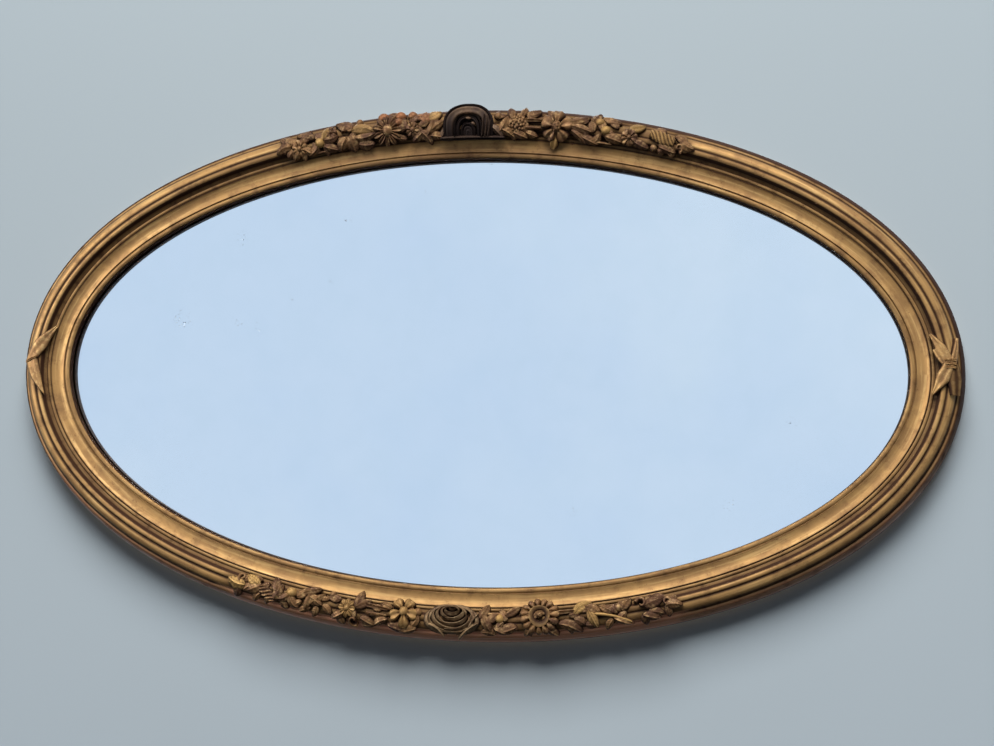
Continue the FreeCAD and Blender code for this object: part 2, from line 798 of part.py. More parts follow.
def bed_under(side, low, high):
    """The bed under one casting: its outline turned about the centre of that stretch of the rim."""
    middle = rim_angle(side, (low + high) / 2)
    arc = Part.Circle(*[rim_frame(rim_angle(side, distance), 0, 0)[0]
                        for distance in (low, (low + high) / 2, high)])
    spot, _, outward, front = rim_frame(middle, 0, 0)
    points = [spot + outward * offset + front * height for offset, height in bed_outline()]
    face = Part.Face(Part.makePolygon(points + points[:1]))
    sweep = 2 * math.degrees((high - low) / arc.Radius)
    face.rotate(arc.Center, front, -sweep / 2)
    return face.revolve(arc.Center, front, sweep)


# Castings are laid out on the crown: along the rim, across it, and up from it.


def crown_circle():
    """The circle over the bed through its shelf corner, its top and its outermost corner."""
    top = meet(BED_ANGLES[-3], BED_ANGLES[-2])
    outermost = meet(BED_ANGLES[0], BED_ANGLES[1])
    circle = Part.Circle(*[Vector(x, y, 0) for x, y in (bed_shelf(), top, outermost)])
    return circle.Center.x, circle.Center.y, circle.Radius


CROWN_OFFSET, CROWN_HEIGHT, CROWN_RADIUS = crown_circle()

# Each side of the oval: the rim angle of its middle, and which way the angle runs to the
# viewer's right (top and bottom) or upwards (left and right).
SIDES = {"top": (90, -1), "bottom": (270, 1), "left": (180, -1), "right": (0, 1)}
WALK_STEPS = 40
# Past this lean towards the glass, leaves and petals run straight on and hang over the cove.
OVERHANG_LEAN = 25


def rim_angle(side, distance):
    """The rim angle at a distance along the crown from the middle of a side."""
    start, direction = SIDES[side]
    turn = math.radians(start)
    half_width = size("sight_half_width")
    half_height = size("sight_half_height")
    for _ in range(WALK_STEPS):
        speed = math.hypot(half_width * math.sin(turn), half_height * math.cos(turn))
        stretch = speed + half_width * half_height * CROWN_OFFSET / speed ** 2
        turn += direction * distance / WALK_STEPS / stretch
    return math.degrees(turn)


def on_crown(side, along, across, lift, outer_lean=90):
    """A point of a casting: distance along the rim, arc across the crown, height above it."""
    lean = max(across / CROWN_RADIUS, -math.radians(OVERHANG_LEAN))
    lean = min(lean, math.radians(outer_lean))
    straight = across - lean * CROWN_RADIUS
    reach = CROWN_RADIUS + lift
    offset = CROWN_OFFSET + reach * math.sin(lean) + straight * math.cos(lean)
    height = CROWN_HEIGHT + reach * math.cos(lean) - straight * math.sin(lean)
    return rim_frame(rim_angle(side, along), offset, height)[0]


def crown_arc(share):
    """The arc across the crown, from its top, at a share of the way across the frame."""
    return size("frame_width") * share - CROWN_OFFSET


def skin(first, rings, last):
    """A solid with a faceted skin: rings of points, closed by a point at either end."""
    faces = []
    count = len(rings[0])
    for j in range(count):
        k = (j + 1) % count
        faces.append((first, rings[0][j], rings[0][k]))
        faces.append((last, rings[-1][k], rings[-1][j]))
        for upper, lower in zip(rings, rings[1:]):
            faces.append((upper[j], lower[j], lower[k]))
            faces.append((upper[j], lower[k], upper[k]))
    shell = Part.makeShell([Part.Face(Part.makePolygon(list(face) + [face[0]])) for face in faces])
    solid = Part.makeSolid(shell)
    if solid.Volume < 0:
        solid.reverse()
    return solid


def relief(side, along, across, heading, middle, rings, outer_lean=90):
    """A leaf or flower laid on the crown: a middle height and rings of (x, y, lift) points."""
    turn = math.radians(heading)

    def lay(spot):
        x, y, lift = spot
        return on_crown(side, along + x * math.cos(turn) - y * math.sin(turn),
                        across + x * math.sin(turn) + y * math.cos(turn), lift, outer_lean)

    sink = -size("casting_sink")
    rings = rings + [[(x, y, sink) for x, y, _ in rings[-1]]]
    laid = [[lay(spot) for spot in ring] for ring in rings]
    return skin(lay((0, 0, middle)), laid, lay((0, 0, sink)))


BAND_STATIONS = 6


def band(side, start, end, width, rise, width_shares):
    """A stem or ribbon between two (along, across) places, with its width at its ends and midway."""
    run = math.hypot(end[0] - start[0], end[1] - start[1])
    square = ((start[1] - end[1]) / run, (end[0] - start[0]) / run)
    sink = -size("casting_sink")
    edge = size("casting_edge")
    first, midway, last = width_shares
    rings = []
    for i in range(BAND_STATIONS + 1):
        share = i / BAND_STATIONS
        x = start[0] + (end[0] - start[0]) * share
        y = start[1] + (end[1] - start[1]) * share
        if share < 0.5:
            width_share = first + (midway - first) * 2 * share
        else:
            width_share = midway + (last - midway) * (2 * share - 1)
        half = width / 2 * width_share
        corners = ((-half, sink), (-half, edge), (0, rise), (half, edge), (half, sink))
        rings.append([on_crown(side, x + square[0] * w, y + square[1] * w, up) for w, up in corners])
    return skin(sum(rings[0], Vector()) / len(corners), rings, sum(rings[-1], Vector()) / len(corners))


# Shares of a leaf's half length, half width and rise at the ring between ridge and edge.
LEAF_RIDGE_SHARES = (0.62, 0.28, 0.8)
LEAF_SPOKES = 10


def leaf(length_share, width_share):
    """A pointed leaf with a raised midrib."""
    half_length = size("leaf_length") * length_share / 2
    half_width = size("leaf_width") * width_share / 2
    rise = size("leaf_rise")
    ridge = []
    edge = []
    for j in range(LEAF_SPOKES):
        turn = 2 * math.pi * j / LEAF_SPOKES
        x = half_length * math.cos(turn)
        y = half_width * math.sin(turn)
        ridge.append((x * LEAF_RIDGE_SHARES[0], y * LEAF_RIDGE_SHARES[1], rise * LEAF_RIDGE_SHARES[2]))
        edge.append((x, y, size("casting_edge")))
    return rise, [ridge, edge]


# Shares of a flower's radius and rise at its boss, throat and petal bellies.
BLOOM_BOSS_SHARES = (0.24, 0.8)
BLOOM_THROAT_SHARES = (0.34, 0.42)
BLOOM_BELLY_SHARES = (0.72, 0.75)
BLOOM_FURROW_SHARE = 0.45
BLOOM_NOTCH_SHARE = 0.82


def bloom(petals, radius, rise):
    """An open flower: a boss in the middle, a throat round it, and petals with furrows between."""
    boss = []
    throat = []
    belly = []
    tip = []
    for j in range(2 * petals):
        turn = math.pi * j / petals
        x = radius * math.cos(turn)
        y = radius * math.sin(turn)
        on_petal = j % 2 == 0
        belly_rise = BLOOM_BELLY_SHARES[1] if on_petal else BLOOM_FURROW_SHARE
        reach = 1 if on_petal else BLOOM_NOTCH_SHARE
        boss.append((x * BLOOM_BOSS_SHARES[0], y * BLOOM_BOSS_SHARES[0], rise * BLOOM_BOSS_SHARES[1]))
        throat.append((x * BLOOM_THROAT_SHARES[0], y * BLOOM_THROAT_SHARES[0], rise * BLOOM_THROAT_SHARES[1]))
        belly.append((x * BLOOM_BELLY_SHARES[0], y * BLOOM_BELLY_SHARES[0], rise * belly_rise))
        tip.append((x * reach, y * reach, size("casting_edge")))
    return rise, [boss, throat, belly, tip]


BERRY_SHOULDER_SHARES = (0.68, 0.8)
BERRY_SPOKES = 8


def berry(share):
    """A round berry or bud."""
    radius = size("berry_radius") * share
    rise = size("berry_rise") * share
    shoulder = []
    edge = []
    for j in range(BERRY_SPOKES):
        turn = 2 * math.pi * j / BERRY_SPOKES
        x = radius * math.cos(turn)
        y = radius * math.sin(turn)
        shoulder.append((x * BERRY_SHOULDER_SHARES[0], y * BERRY_SHOULDER_SHARES[0],
                         rise * BERRY_SHOULDER_SHARES[1]))
        edge.append((x, y, min(size("casting_edge"), rise / 2)))
    return rise, [shoulder, edge]


# A full rose from its heart outwards: shares of its reach, its rise on a petal and in a fold.
ROSE_RING_SHARES = ((0.22, 0.92, 0.8), (0.4, 0.5, 0.42), (0.62, 0.95, 0.85), (0.8, 0.8, 0.62))
ROSE_SPOKES = 18
ROSE_SPOKES_TO_A_FOLD = 3
ROSE_TWIST = 22


def rose(width, height, rise):
    """A full-blown rose: a heart in a hollow, with petals folded round it."""
    rings = []
    for reach, high, low in ROSE_RING_SHARES:
        ring = []
        for j in range(ROSE_SPOKES):
            turn = 2 * math.pi * j / ROSE_SPOKES + math.radians(ROSE_TWIST * (1 - reach))
            lift = rise * (high if j % ROSE_SPOKES_TO_A_FOLD else low)
            ring.append((width / 2 * reach * math.cos(turn), height / 2 * reach * math.sin(turn), lift))
        rings.append(ring)
    edge = []
    for j in range(ROSE_SPOKES):
        turn = 2 * math.pi * j / ROSE_SPOKES
        edge.append((width / 2 * math.cos(turn), height / 2 * math.sin(turn), size("casting_edge")))
    return rise * ROSE_RING_SHARES[0][1], rings + [edge]


def casting(label, side, low, high, solids):
    """One casting: its leaves and flowers fused, and cut to the bed so that it sits on the reeds."""
    stock = solids[0].multiFuse(solids[1:]) if len(solids) > 1 else solids[0]
    margin = size("casting_margin")
    feature = doc.addObject("Part::Feature", label)
    feature.Label = label
    feature.Shape = stock.cut(bed_under(side, low - margin, high + margin)).removeSplitter()
    feature.Placement = FreeCAD.Placement()
    nodes.append(feature)


STEM_WIDTH_SHARES = (1.0, 0.8, 1.0)


def sprig(label, side, reach, leaves=(), flowers=(), berries=()):
    """A casting from tables of shares: along the spray, across the frame, heading, size."""
    length = size(reach)
    pieces = []
    for along, across, heading, long, wide in leaves:
        pieces.append((along, across, heading, leaf(long, wide)))
    for along, across, petals, name in flowers:
        pieces.append((along, across, 0, bloom(petals, size(name + "_radius"), size(name + "_rise"))))
    for along, across, share in berries:
        pieces.append((along, across, 0, berry(share)))
    pieces.sort(key=lambda piece: piece[0])
    places = [(length * along, crown_arc(across)) for along, across, _, _ in pieces]
    solids = []
    for place, piece in zip(places, pieces):
        solids.append(relief(side, *place, piece[2], *piece[3]))
    for start, end in zip(places, places[1:]):
        solids.append(band(side, start, end, size("stem_width"), size("stem_rise"), STEM_WIDTH_SHARES))
    casting(label, side, places[0][0], places[-1][0], solids)


# Top spray, left of the crest, from its tip inwards.
sprig("top_left_tip_sprig", "top", "top_left_reach",
      leaves=((-0.98, 0.6, 190, 0.75, 0.9), (-0.95, 0.7, 120, 0.6, 0.8), (-0.9, 0.48, 250, 0.6, 0.9)),
      flowers=((-0.905, 0.56, 5, "small_flower"),))
sprig("top_left_berry_sprig", "top", "top_left_reach",
      leaves=((-0.845, 0.74, 150, 0.8, 0.8), (-0.75, 0.68, 60, 0.75, 0.8), (-0.735, 0.5, 350, 0.7, 0.8)),
      berries=((-0.8, 0.56, 1.0), (-0.755, 0.52, 0.7)))
sprig("top_left_curled_leaves", "top", "top_left_reach",
      leaves=((-0.64, 0.72, 40, 0.9, 1.1), (-0.585, 0.58, 350, 0.9, 1.0), (-0.64, 0.44, 200, 0.8, 1.1)),
      berries=((-0.6, 0.8, 0.7),))
sprig("top_left_daisy", "top", "top_left_reach",
      leaves=((-0.455, 0.84, 100, 0.7, 1.2), (-0.39, 0.8, 60, 0.7, 1.2)),
      flowers=((-0.45, 0.59, 11, "daisy"),))
sprig("top_left_gold_leaves", "top", "top_left_reach",
      leaves=((-0.3, 0.7, 150, 0.8, 1.2), (-0.25, 0.66, 70, 1.0, 1.2), (-0.235, 0.46, 300, 0.8, 1.1)),
      berries=((-0.325, 0.5, 1.0),))

# Top spray, right of the crest.
sprig("top_right_blossom_sprig", "top", "top_right_reach",
      leaves=((0.135, 0.72, 70, 0.9, 1.0), (0.15, 0.5, 330, 0.8, 0.9), (0.215, 0.8, 80, 0.7, 0.7)),
      berries=((0.19, 0.6, 1.3),))
sprig("top_right_dog_rose", "top", "top_right_reach",
      flowers=((0.37, 0.59, 5, "dog_rose"),))
sprig("top_right_bud_sprig", "top", "top_right_reach",
      leaves=((0.49, 0.7, 30, 0.9, 1.0), (0.515, 0.46, 330, 0.9, 1.0), (0.63, 0.5, 350, 0.8, 0.9)),
      berries=((0.575, 0.72, 0.8), (0.6, 0.6, 0.8)))
sprig("top_right_small_flower", "top", "top_right_reach",
      leaves=((0.745, 0.74, 30, 0.7, 0.9),),
      flowers=((0.715, 0.56, 5, "small_flower"),))
sprig("top_right_fern_tip", "top", "top_right_reach",
      leaves=((0.86, 0.68, 345, 1.4, 0.9), (0.96, 0.6, 350, 0.8, 0.9), (0.9, 0.46, 10, 0.8, 0.8)),
      berries=((0.83, 0.48, 0.7),))

# Bottom spray, left of the rose, from its tip inwards.
sprig("bottom_left_tip_sprig", "bottom", "bottom_left_reach",
      leaves=((-0.97, 0.62, 180, 0.9, 1.3), (-0.88, 0.5, 200, 0.8, 1.0), (-0.83, 0.64, 30, 0.8, 0.9),
              (-0.79, 0.52, 260, 0.8, 0.8)),)
sprig("bottom_left_bud_sprig", "bottom", "bottom_left_reach",
      leaves=((-0.66, 0.42, 330, 0.7, 0.9), (-0.63, 0.56, 80, 0.9, 0.8)),
      berries=((-0.73, 0.52, 1.2), (-0.575, 0.4, 0.7), (-0.55, 0.47, 0.7)))
sprig("bottom_left_small_daisy", "bottom", "bottom_left_reach",
      leaves=((-0.445, 0.4, 280, 0.7, 0.9), (-0.455, 0.76, 20, 0.8, 0.7)),
      flowers=((-0.49, 0.57, 8, "small_flower"),))
sprig("bottom_left_ribbed_leaf", "bottom", "bottom_left_reach",
      leaves=((-0.365, 0.5, 10, 1.1, 1.3),))
sprig("bottom_left_gold_flower", "bottom", "bottom_left_reach",
      leaves=((-0.265, 0.78, 180, 1.0, 1.0),),
      flowers=((-0.255, 0.5, 5, "gold_flower"),))

# Bottom spray, right of the rose.
sprig("bottom_right_leaf_sprig", "bottom", "bottom_right_reach",
      leaves=((0.1, 0.42, 300, 0.7, 0.9), (0.11, 0.64, 60, 0.8, 0.9), (0.215, 0.72, 350, 0.7, 0.8),
              (0.21, 0.42, 330, 0.7, 0.8)),
      berries=((0.165, 0.54, 0.9),))
sprig("bottom_right_great_daisy", "bottom", "bottom_right_reach",
      flowers=((0.352, 0.5, 15, "great_daisy"),))
sprig("bottom_right_bow_leaves", "bottom", "bottom_right_reach",
      leaves=((0.5, 0.73, 20, 1.1, 1.0), (0.56, 0.46, 340, 0.9, 1.1), (0.605, 0.62, 60, 0.9, 0.9)),)
sprig("bottom_right_stem_sprig", "bottom", "bottom_right_reach",
      leaves=((0.69, 0.68, 25, 1.2, 0.6), (0.76, 0.46, 320, 0.7, 0.9)),
      berries=((0.71, 0.48, 0.8),))
sprig("bottom_right_tip_sprig", "bottom", "bottom_right_reach",
      leaves=((0.9, 0.52, 350, 0.9, 1.0), (0.87, 0.72, 20, 0.8, 0.8), (0.97, 0.6, 10, 0.7, 0.9)),
      berries=((0.83, 0.5, 0.9),))


# The hood from its heart outwards, as shares of its reach and its rise: the bowl, the inner ring,
# a groove, the broad fold, a second groove and the thin outer fold.
HOOD_RING_SHARES = ((0.2, 0.3), (0.36, 0.75), (0.45, 0.5), (0.66, 1.0), (0.82, 0.5), (0.92, 0.68))
HOOD_SPOKES = 24
HOOD_DROP_SHARE = 0.45


def hood(width, height, leg, rise):
    """Folds arched over a hollow heart: each is half an oval over two straight legs."""
    corner = math.sqrt(2)
    rings = []
    for reach, lift in HOOD_RING_SHARES + ((1, size("casting_edge") / rise),):
        drop = leg * HOOD_DROP_SHARE * (1 - reach)
        ring = []
        for j in range(HOOD_SPOKES):
            turn = 2 * math.pi * j / HOOD_SPOKES
            x = width / 2 * math.cos(turn)
            y = (height - leg) * math.sin(turn)
            if y < 0:
                x = max(-width / 2, min(width / 2, x * corner))
                y = max(-leg, leg * corner * math.sin(turn))
            ring.append((x * reach, y * reach - drop, rise * lift))
        rings.append(ring)
    return rise * HOOD_RING_SHARES[0][1], rings


# The ledge's length and width as shares of a leaf's, and its place across the frame.
CREST_LEDGE_SHARES = (3.1, 0.6, 0.385)
# Past this lean the crest runs straight on, and stands up beyond the frame's outer edge.
CREST_LEAN = 12
BOTTOM_ROSE_ACROSS_SHARE = 0.6


# The hooded rose at the crest, on its ledge.
def crest_rose():
    shift = size("crest_shift")
    half = size("crest_width") / 2
    folds = hood(size("crest_width"), size("crest_height"), size("crest_leg"), size("crest_rise"))
    ledge = leaf(CREST_LEDGE_SHARES[0], CREST_LEDGE_SHARES[1])
    foot = crown_arc(CREST_LEDGE_SHARES[2])
    solids = [relief("top", shift, foot + size("crest_leg"), 0, *folds, CREST_LEAN),
              relief("top", shift, foot, 0, *ledge)]
    casting("crest_rose", "top", shift - half, shift + half, solids)


# The swirled rose in the middle of the bottom spray.
def bottom_rose():
    shift = size("bottom_rose_shift")
    half = size("bottom_rose_width") / 2
    bloomed = rose(size("bottom_rose_width"), size("bottom_rose_height"), size("bottom_rose_rise"))
    solids = [relief("bottom", shift, crown_arc(BOTTOM_ROSE_ACROSS_SHARE), 0, *bloomed)]
    casting("bottom_rose", "bottom", shift - half, shift + half, solids)


crest_rose()
bottom_rose()

# The ribbons that tie the reeds at each side, as shares: both ends (along, across), the width at
# its ends and midway, and the rise. The left tie folds back on itself, the right one has a knot.
LEFT_TIE_SHARES = (
    ((1.03, 0.34), (-0.1, 0.78), (0.35, 1.2, 1.1), 1.0),
    ((0.0, 0.74), (-1.05, 0.47), (1.1, 0.9, 0.2), 1.15),
    ((0.7, 0.76), (0.1, 0.76), (0.35, 0.45, 0.6), 0.9),
)
RIGHT_TIE_SHARES = (
    ((0.85, 0.41), (-0.05, 0.67), (0.4, 1.1, 0.8), 1.0),
    ((0.53, 0.84), (-0.05, 0.69), (0.35, 0.6, 0.6), 0.9),
    ((0.3, 0.43), (0.0, 0.6), (0.8, 0.6, 0.5), 0.8),
    ((0.02, 0.66), (-0.85, 0.37), (0.8, 1.2, 0.3), 1.1),
    ((0.02, 0.58), (-0.02, 0.76), (0.45, 0.45, 0.45), 1.35),
)


def ribbon_tie(label, side, lift, shares):
    """A ribbon tie: its bands laid over the crown and fused where they meet."""
    reach = size("tie_reach")
    middle = size(lift)
    solids = []
    for start, end, width_shares, rise_share in shares:
        ends = [(middle + reach * along, crown_arc(across)) for along, across in (start, end)]
        solids.append(band(side, *ends, size("tie_width"), size("tie_rise") * rise_share, width_shares))
    casting(label, side, middle - reach, middle + reach, solids)


ribbon_tie("left_ribbon_tie", "left", "left_tie_lift", LEFT_TIE_SHARES)
ribbon_tie("right_ribbon_tie", "right", "right_tie_lift", RIGHT_TIE_SHARES)

doc.recompute()
for item in doc.Objects:
    if "Invalid" in item.State or "Error" in item.State:
        raise ValueError(f"{item.Name} failed: {item.State}")
os.makedirs("parts", exist_ok=True)
for node in nodes:
    shape = node.Shape
    if shape.isNull() or not shape.isValid():
        raise ValueError(f"{node.Label} has no valid shape")
    shape.exportStep(f"parts/{node.Label}.step")
    box = shape.BoundBox
    print(node.Label, len(shape.Solids), round(shape.Volume), len(shape.Faces),
          [round(v, 1) for v in (box.XMin, box.YMin, box.ZMin, box.XMax, box.YMax, box.ZMax)])
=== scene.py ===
import math
import random

import bpy
from mathutils import Matrix, Vector


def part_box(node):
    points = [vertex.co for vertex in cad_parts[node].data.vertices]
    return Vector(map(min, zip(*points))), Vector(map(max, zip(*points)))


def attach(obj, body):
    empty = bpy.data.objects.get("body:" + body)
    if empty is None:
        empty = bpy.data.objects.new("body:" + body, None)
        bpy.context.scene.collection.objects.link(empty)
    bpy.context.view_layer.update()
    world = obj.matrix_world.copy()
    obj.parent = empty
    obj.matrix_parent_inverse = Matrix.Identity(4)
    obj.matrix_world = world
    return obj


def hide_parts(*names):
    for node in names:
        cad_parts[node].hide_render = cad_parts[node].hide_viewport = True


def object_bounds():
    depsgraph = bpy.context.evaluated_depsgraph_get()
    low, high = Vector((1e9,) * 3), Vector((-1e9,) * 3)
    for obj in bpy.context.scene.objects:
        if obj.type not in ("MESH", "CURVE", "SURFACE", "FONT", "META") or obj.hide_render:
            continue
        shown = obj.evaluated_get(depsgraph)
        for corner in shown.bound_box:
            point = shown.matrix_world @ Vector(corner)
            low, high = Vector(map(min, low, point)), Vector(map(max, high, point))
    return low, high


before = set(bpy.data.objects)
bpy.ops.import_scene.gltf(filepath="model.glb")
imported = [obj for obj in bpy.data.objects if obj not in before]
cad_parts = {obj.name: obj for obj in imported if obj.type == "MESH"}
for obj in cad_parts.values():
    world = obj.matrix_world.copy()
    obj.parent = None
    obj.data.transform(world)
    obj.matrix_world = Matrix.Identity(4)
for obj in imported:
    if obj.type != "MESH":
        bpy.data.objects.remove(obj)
cad_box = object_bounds()
random.seed(7)


# The ring is softwood, spliced from four quarters with its moulding run on, then coated with
# white ground, red clay and leaf. A century of hands and dust has rubbed the ridges bright and
# filled the hollows with brown.

FRAME_WIDTH = 0.051
REBATE_WIDTH = 0.008
REBATE_DEPTH = 0.0125
REBATE_MARGIN = 0.0002
SMOOTH_UP_TO = math.radians(38)
wood_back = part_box("backboard")[0].y
ring_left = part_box("frame_quarter_bottom_left")[0]
ring_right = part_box("frame_quarter_top_right")[1]
SIGHT_HALF_WIDTH = (ring_right.x - ring_left.x) / 2 - FRAME_WIDTH
SIGHT_HALF_HEIGHT = (ring_right.z - ring_left.z) / 2 - FRAME_WIDTH

# Each member of the moulding: where it starts outside the sight edge, its height off the wood's
# back, how far it bows forwards, and how many strips it is drawn with.
MOULDING = (
    (0.0, REBATE_DEPTH, 0.0, 4),
    (0.0, 0.0196, 0.0013, 12),
    (0.0048, 0.0202, 0.0, 3),
    (0.0056, 0.0214, -0.0015, 16),
    (0.0174, 0.0236, 0.0, 3),
    (0.0182, 0.0224, 0.0010, 10),
    (0.0216, 0.0224, -0.0005, 8),
    (0.0254, 0.0264, 0.0020, 16),
    (0.0318, 0.0272, 0.0033, 20),
    (0.0412, 0.0198, 0.0021, 14),
    (0.0462, 0.0152, 0.0010, 12),
    (FRAME_WIDTH, 0.0, 0.0, 6),
    (REBATE_WIDTH, 0.0, 0.0, 4),
    (REBATE_WIDTH, REBATE_DEPTH, 0.0, 3),
)
# Where dirt has settled: an offset, how wide the dark line is and how dirty it is.
DIRTY_LINES = (
    (0.0052, 0.0010, 0.55), (0.0178, 0.0011, 0.85), (0.0216, 0.0010, 0.80), (0.0254, 0.0018, 1.0),
    (0.0318, 0.0019, 0.85), (0.0412, 0.0019, 0.80), (0.0464, 0.0013, 0.90),
)
# From the middle of the outer reed outwards the side gets painted shade.
SIDE_START = 0.0424
SIDE_BLEND = 0.0024
SIDE_SHADE = 0.92
LIP_OUTER = 0.0048
# The lip's inner wall, down to the glass, is painted fully dark as shade.
LIP_WALL_SHADE = 1.0
# The lip, the fillet and the cavetto are dirty all over: from one offset to another, and how dirty.
DIRTY_MEMBERS = ((0.0, LIP_OUTER, 0.36), (0.0182, 0.0216, 0.40), (0.0216, 0.0254, 0.56))
# In the oval's upper half the lip, the cove and the inner reed are browned, the cove most near
# the lip.
TOP_LIP_SHADE = 0.60
COVE = (0.0056, 0.0178)
COVE_SHADES = (0.54, 0.18)
INNER_REED_END = 0.0318
INNER_REED_SHADE = 0.56
# Under the sprays the leaf gets painted shade. Below the bottom one, and on the side all round the lower
# half, the clay shows through, painted paler than the clay as light on these down-facing parts.
SPRAYED_REEDS = (0.0205, 0.0505)
TOP_SPRAY = (-0.200, 0.205)
BOTTOM_SPRAY = (-0.235, 0.200)
SPRAY_SHADE = 0.56
SPRAY_FADE = 0.02
BARE_CLAY_START = 0.0395
BARE_CLAY_SHARE = 0.95
BARE_CLAY_DROP = 0.12
BARE_CLAY_END = 0.0500
BARE_SIDE_SHARE = 0.6
QUARTER_COLUMNS = 150
WELD = 0.000001


def bowed(first, last, bow, steps):
    """Points along an arc from one corner of a section to the next, the last one left out."""
    a = Vector(first)
    b = Vector(last)
    chord = b - a
    points = []
    if bow == 0:
        return [a + chord * (i / steps) for i in range(steps)]
    radius = (chord.length ** 2 / 4 + bow ** 2) / (2 * bow)
    forward = Vector((-chord.y, chord.x)).normalized()
    centre = (a + b) / 2 + forward * (bow - radius)
    half_turn = math.asin(chord.length / 2 / abs(radius))
    for i in range(steps):
        turn = half_turn * (2 * i / steps - 1)
        points.append(centre + (chord.normalized() * math.sin(turn) * abs(radius)
                                + forward * math.cos(turn) * radius))
    return points


def moulding_points():
    """The whole section as (offset, height, hollow), closed onto its first point."""
    points = []
    for i, (offset, height, bow, steps) in enumerate(MOULDING):
        following = MOULDING[(i + 1) % len(MOULDING)]
        points += bowed((offset, height), following[:2], bow, steps)
    points.append(points[0])
    shaded = []
    for offset, height in points:
        shades = [depth * math.exp(-((offset - line) / wide) ** 2) for line, wide, depth in DIRTY_LINES]
        shades += [shade for start, end, shade in DIRTY_MEMBERS if start < offset < end]
        shades.append(SIDE_SHADE * min(max((offset - SIDE_START) / SIDE_BLEND, 0), 1))
        shaded.append((offset, height, max(shades) if offset > 0 else LIP_WALL_SHADE))
    return shaded


def rim_place(angle, offset, height):
    """A place on the ring, by its angle round the oval, offset from the sight edge and height."""
    across = SIGHT_HALF_HEIGHT * math.cos(angle)
    up = SIGHT_HALF_WIDTH * math.sin(angle)
    reach = math.hypot(across, up)
    return Vector((SIGHT_HALF_WIDTH * math.cos(angle) + offset * across / reach,
                   wood_back - height,
                   SIGHT_HALF_HEIGHT * math.sin(angle) + offset * up / reach))


def under_spray(x, z, offset):
    """How far a point of the ring lies under a spray, from 0 to 1."""
    first, last = TOP_SPRAY if z > 0 else BOTTOM_SPRAY
    inside = min(x - first, last - x) / SPRAY_FADE + 0.5
    if not SPRAYED_REEDS[0] < offset < SPRAYED_REEDS[1]:
        return 0.0
    return min(max(inside, 0), 1)


def browned(angle, offset):
    """How brown the inner members are, most at the top of the oval."""
    upward = max(math.sin(angle), 0)
    if 0 < offset < LIP_OUTER:
        return TOP_LIP_SHADE * upward ** 3
    if COVE[0] < offset < COVE[1]:
        across = (offset - COVE[0]) / (COVE[1] - COVE[0])
        return (COVE_SHADES[0] + (COVE_SHADES[1] - COVE_SHADES[0]) * across) * upward ** 3
    if COVE[1] <= offset < INNER_REED_END:
        return INNER_REED_SHADE * upward
    return 0.0


def mark(piece, name, values):
    """Writes one value for each point of a piece, for its finish to read."""
    attribute = piece.data.attributes.new(name, "FLOAT", "POINT")
    attribute.data.foreach_set("value", values)


def primitive(name, add, **sizes):
    """A new primitive, selected alone."""
    bpy.ops.object.select_all(action="DESELECT")
    add(**sizes)
    piece = bpy.context.object
    piece.name = name
    piece.data.name = name
    return piece


def grid_piece(name, columns, rows, place):
    """A grid moved to where place(u, v) puts it, u 0 to 1 and v -1 to 1, with how dark each point
    is made by grime and painted shade and, on some pieces, how bare its clay."""
    piece = primitive(name, bpy.ops.mesh.primitive_grid_add, x_subdivisions=columns, y_subdivisions=rows,
                      size=2)
    marks = []
    for vertex in piece.data.vertices:
        spot = place((vertex.co.x + 1) / 2, vertex.co.y)
        vertex.co = spot[:3]
        marks.append(spot[3:])
    for kind, values in zip(("hollow", "clay"), zip(*marks)):
        mark(piece, kind, values)
    return piece


def faces_outwards():
    """Turns every face of the active piece outwards."""
    bpy.ops.object.mode_set(mode="EDIT")
    bpy.ops.mesh.select_all(action="SELECT")
    bpy.ops.mesh.normals_make_consistent(inside=False)
    bpy.ops.object.mode_set(mode="OBJECT")


section = moulding_points()
section_run = [0.0]
for last_point, point in zip(section, section[1:]):
    section_run.append(section_run[-1] + math.dist(last_point[:2], point[:2]))
rim_length = math.pi * (SIGHT_HALF_WIDTH + SIGHT_HALF_HEIGHT)


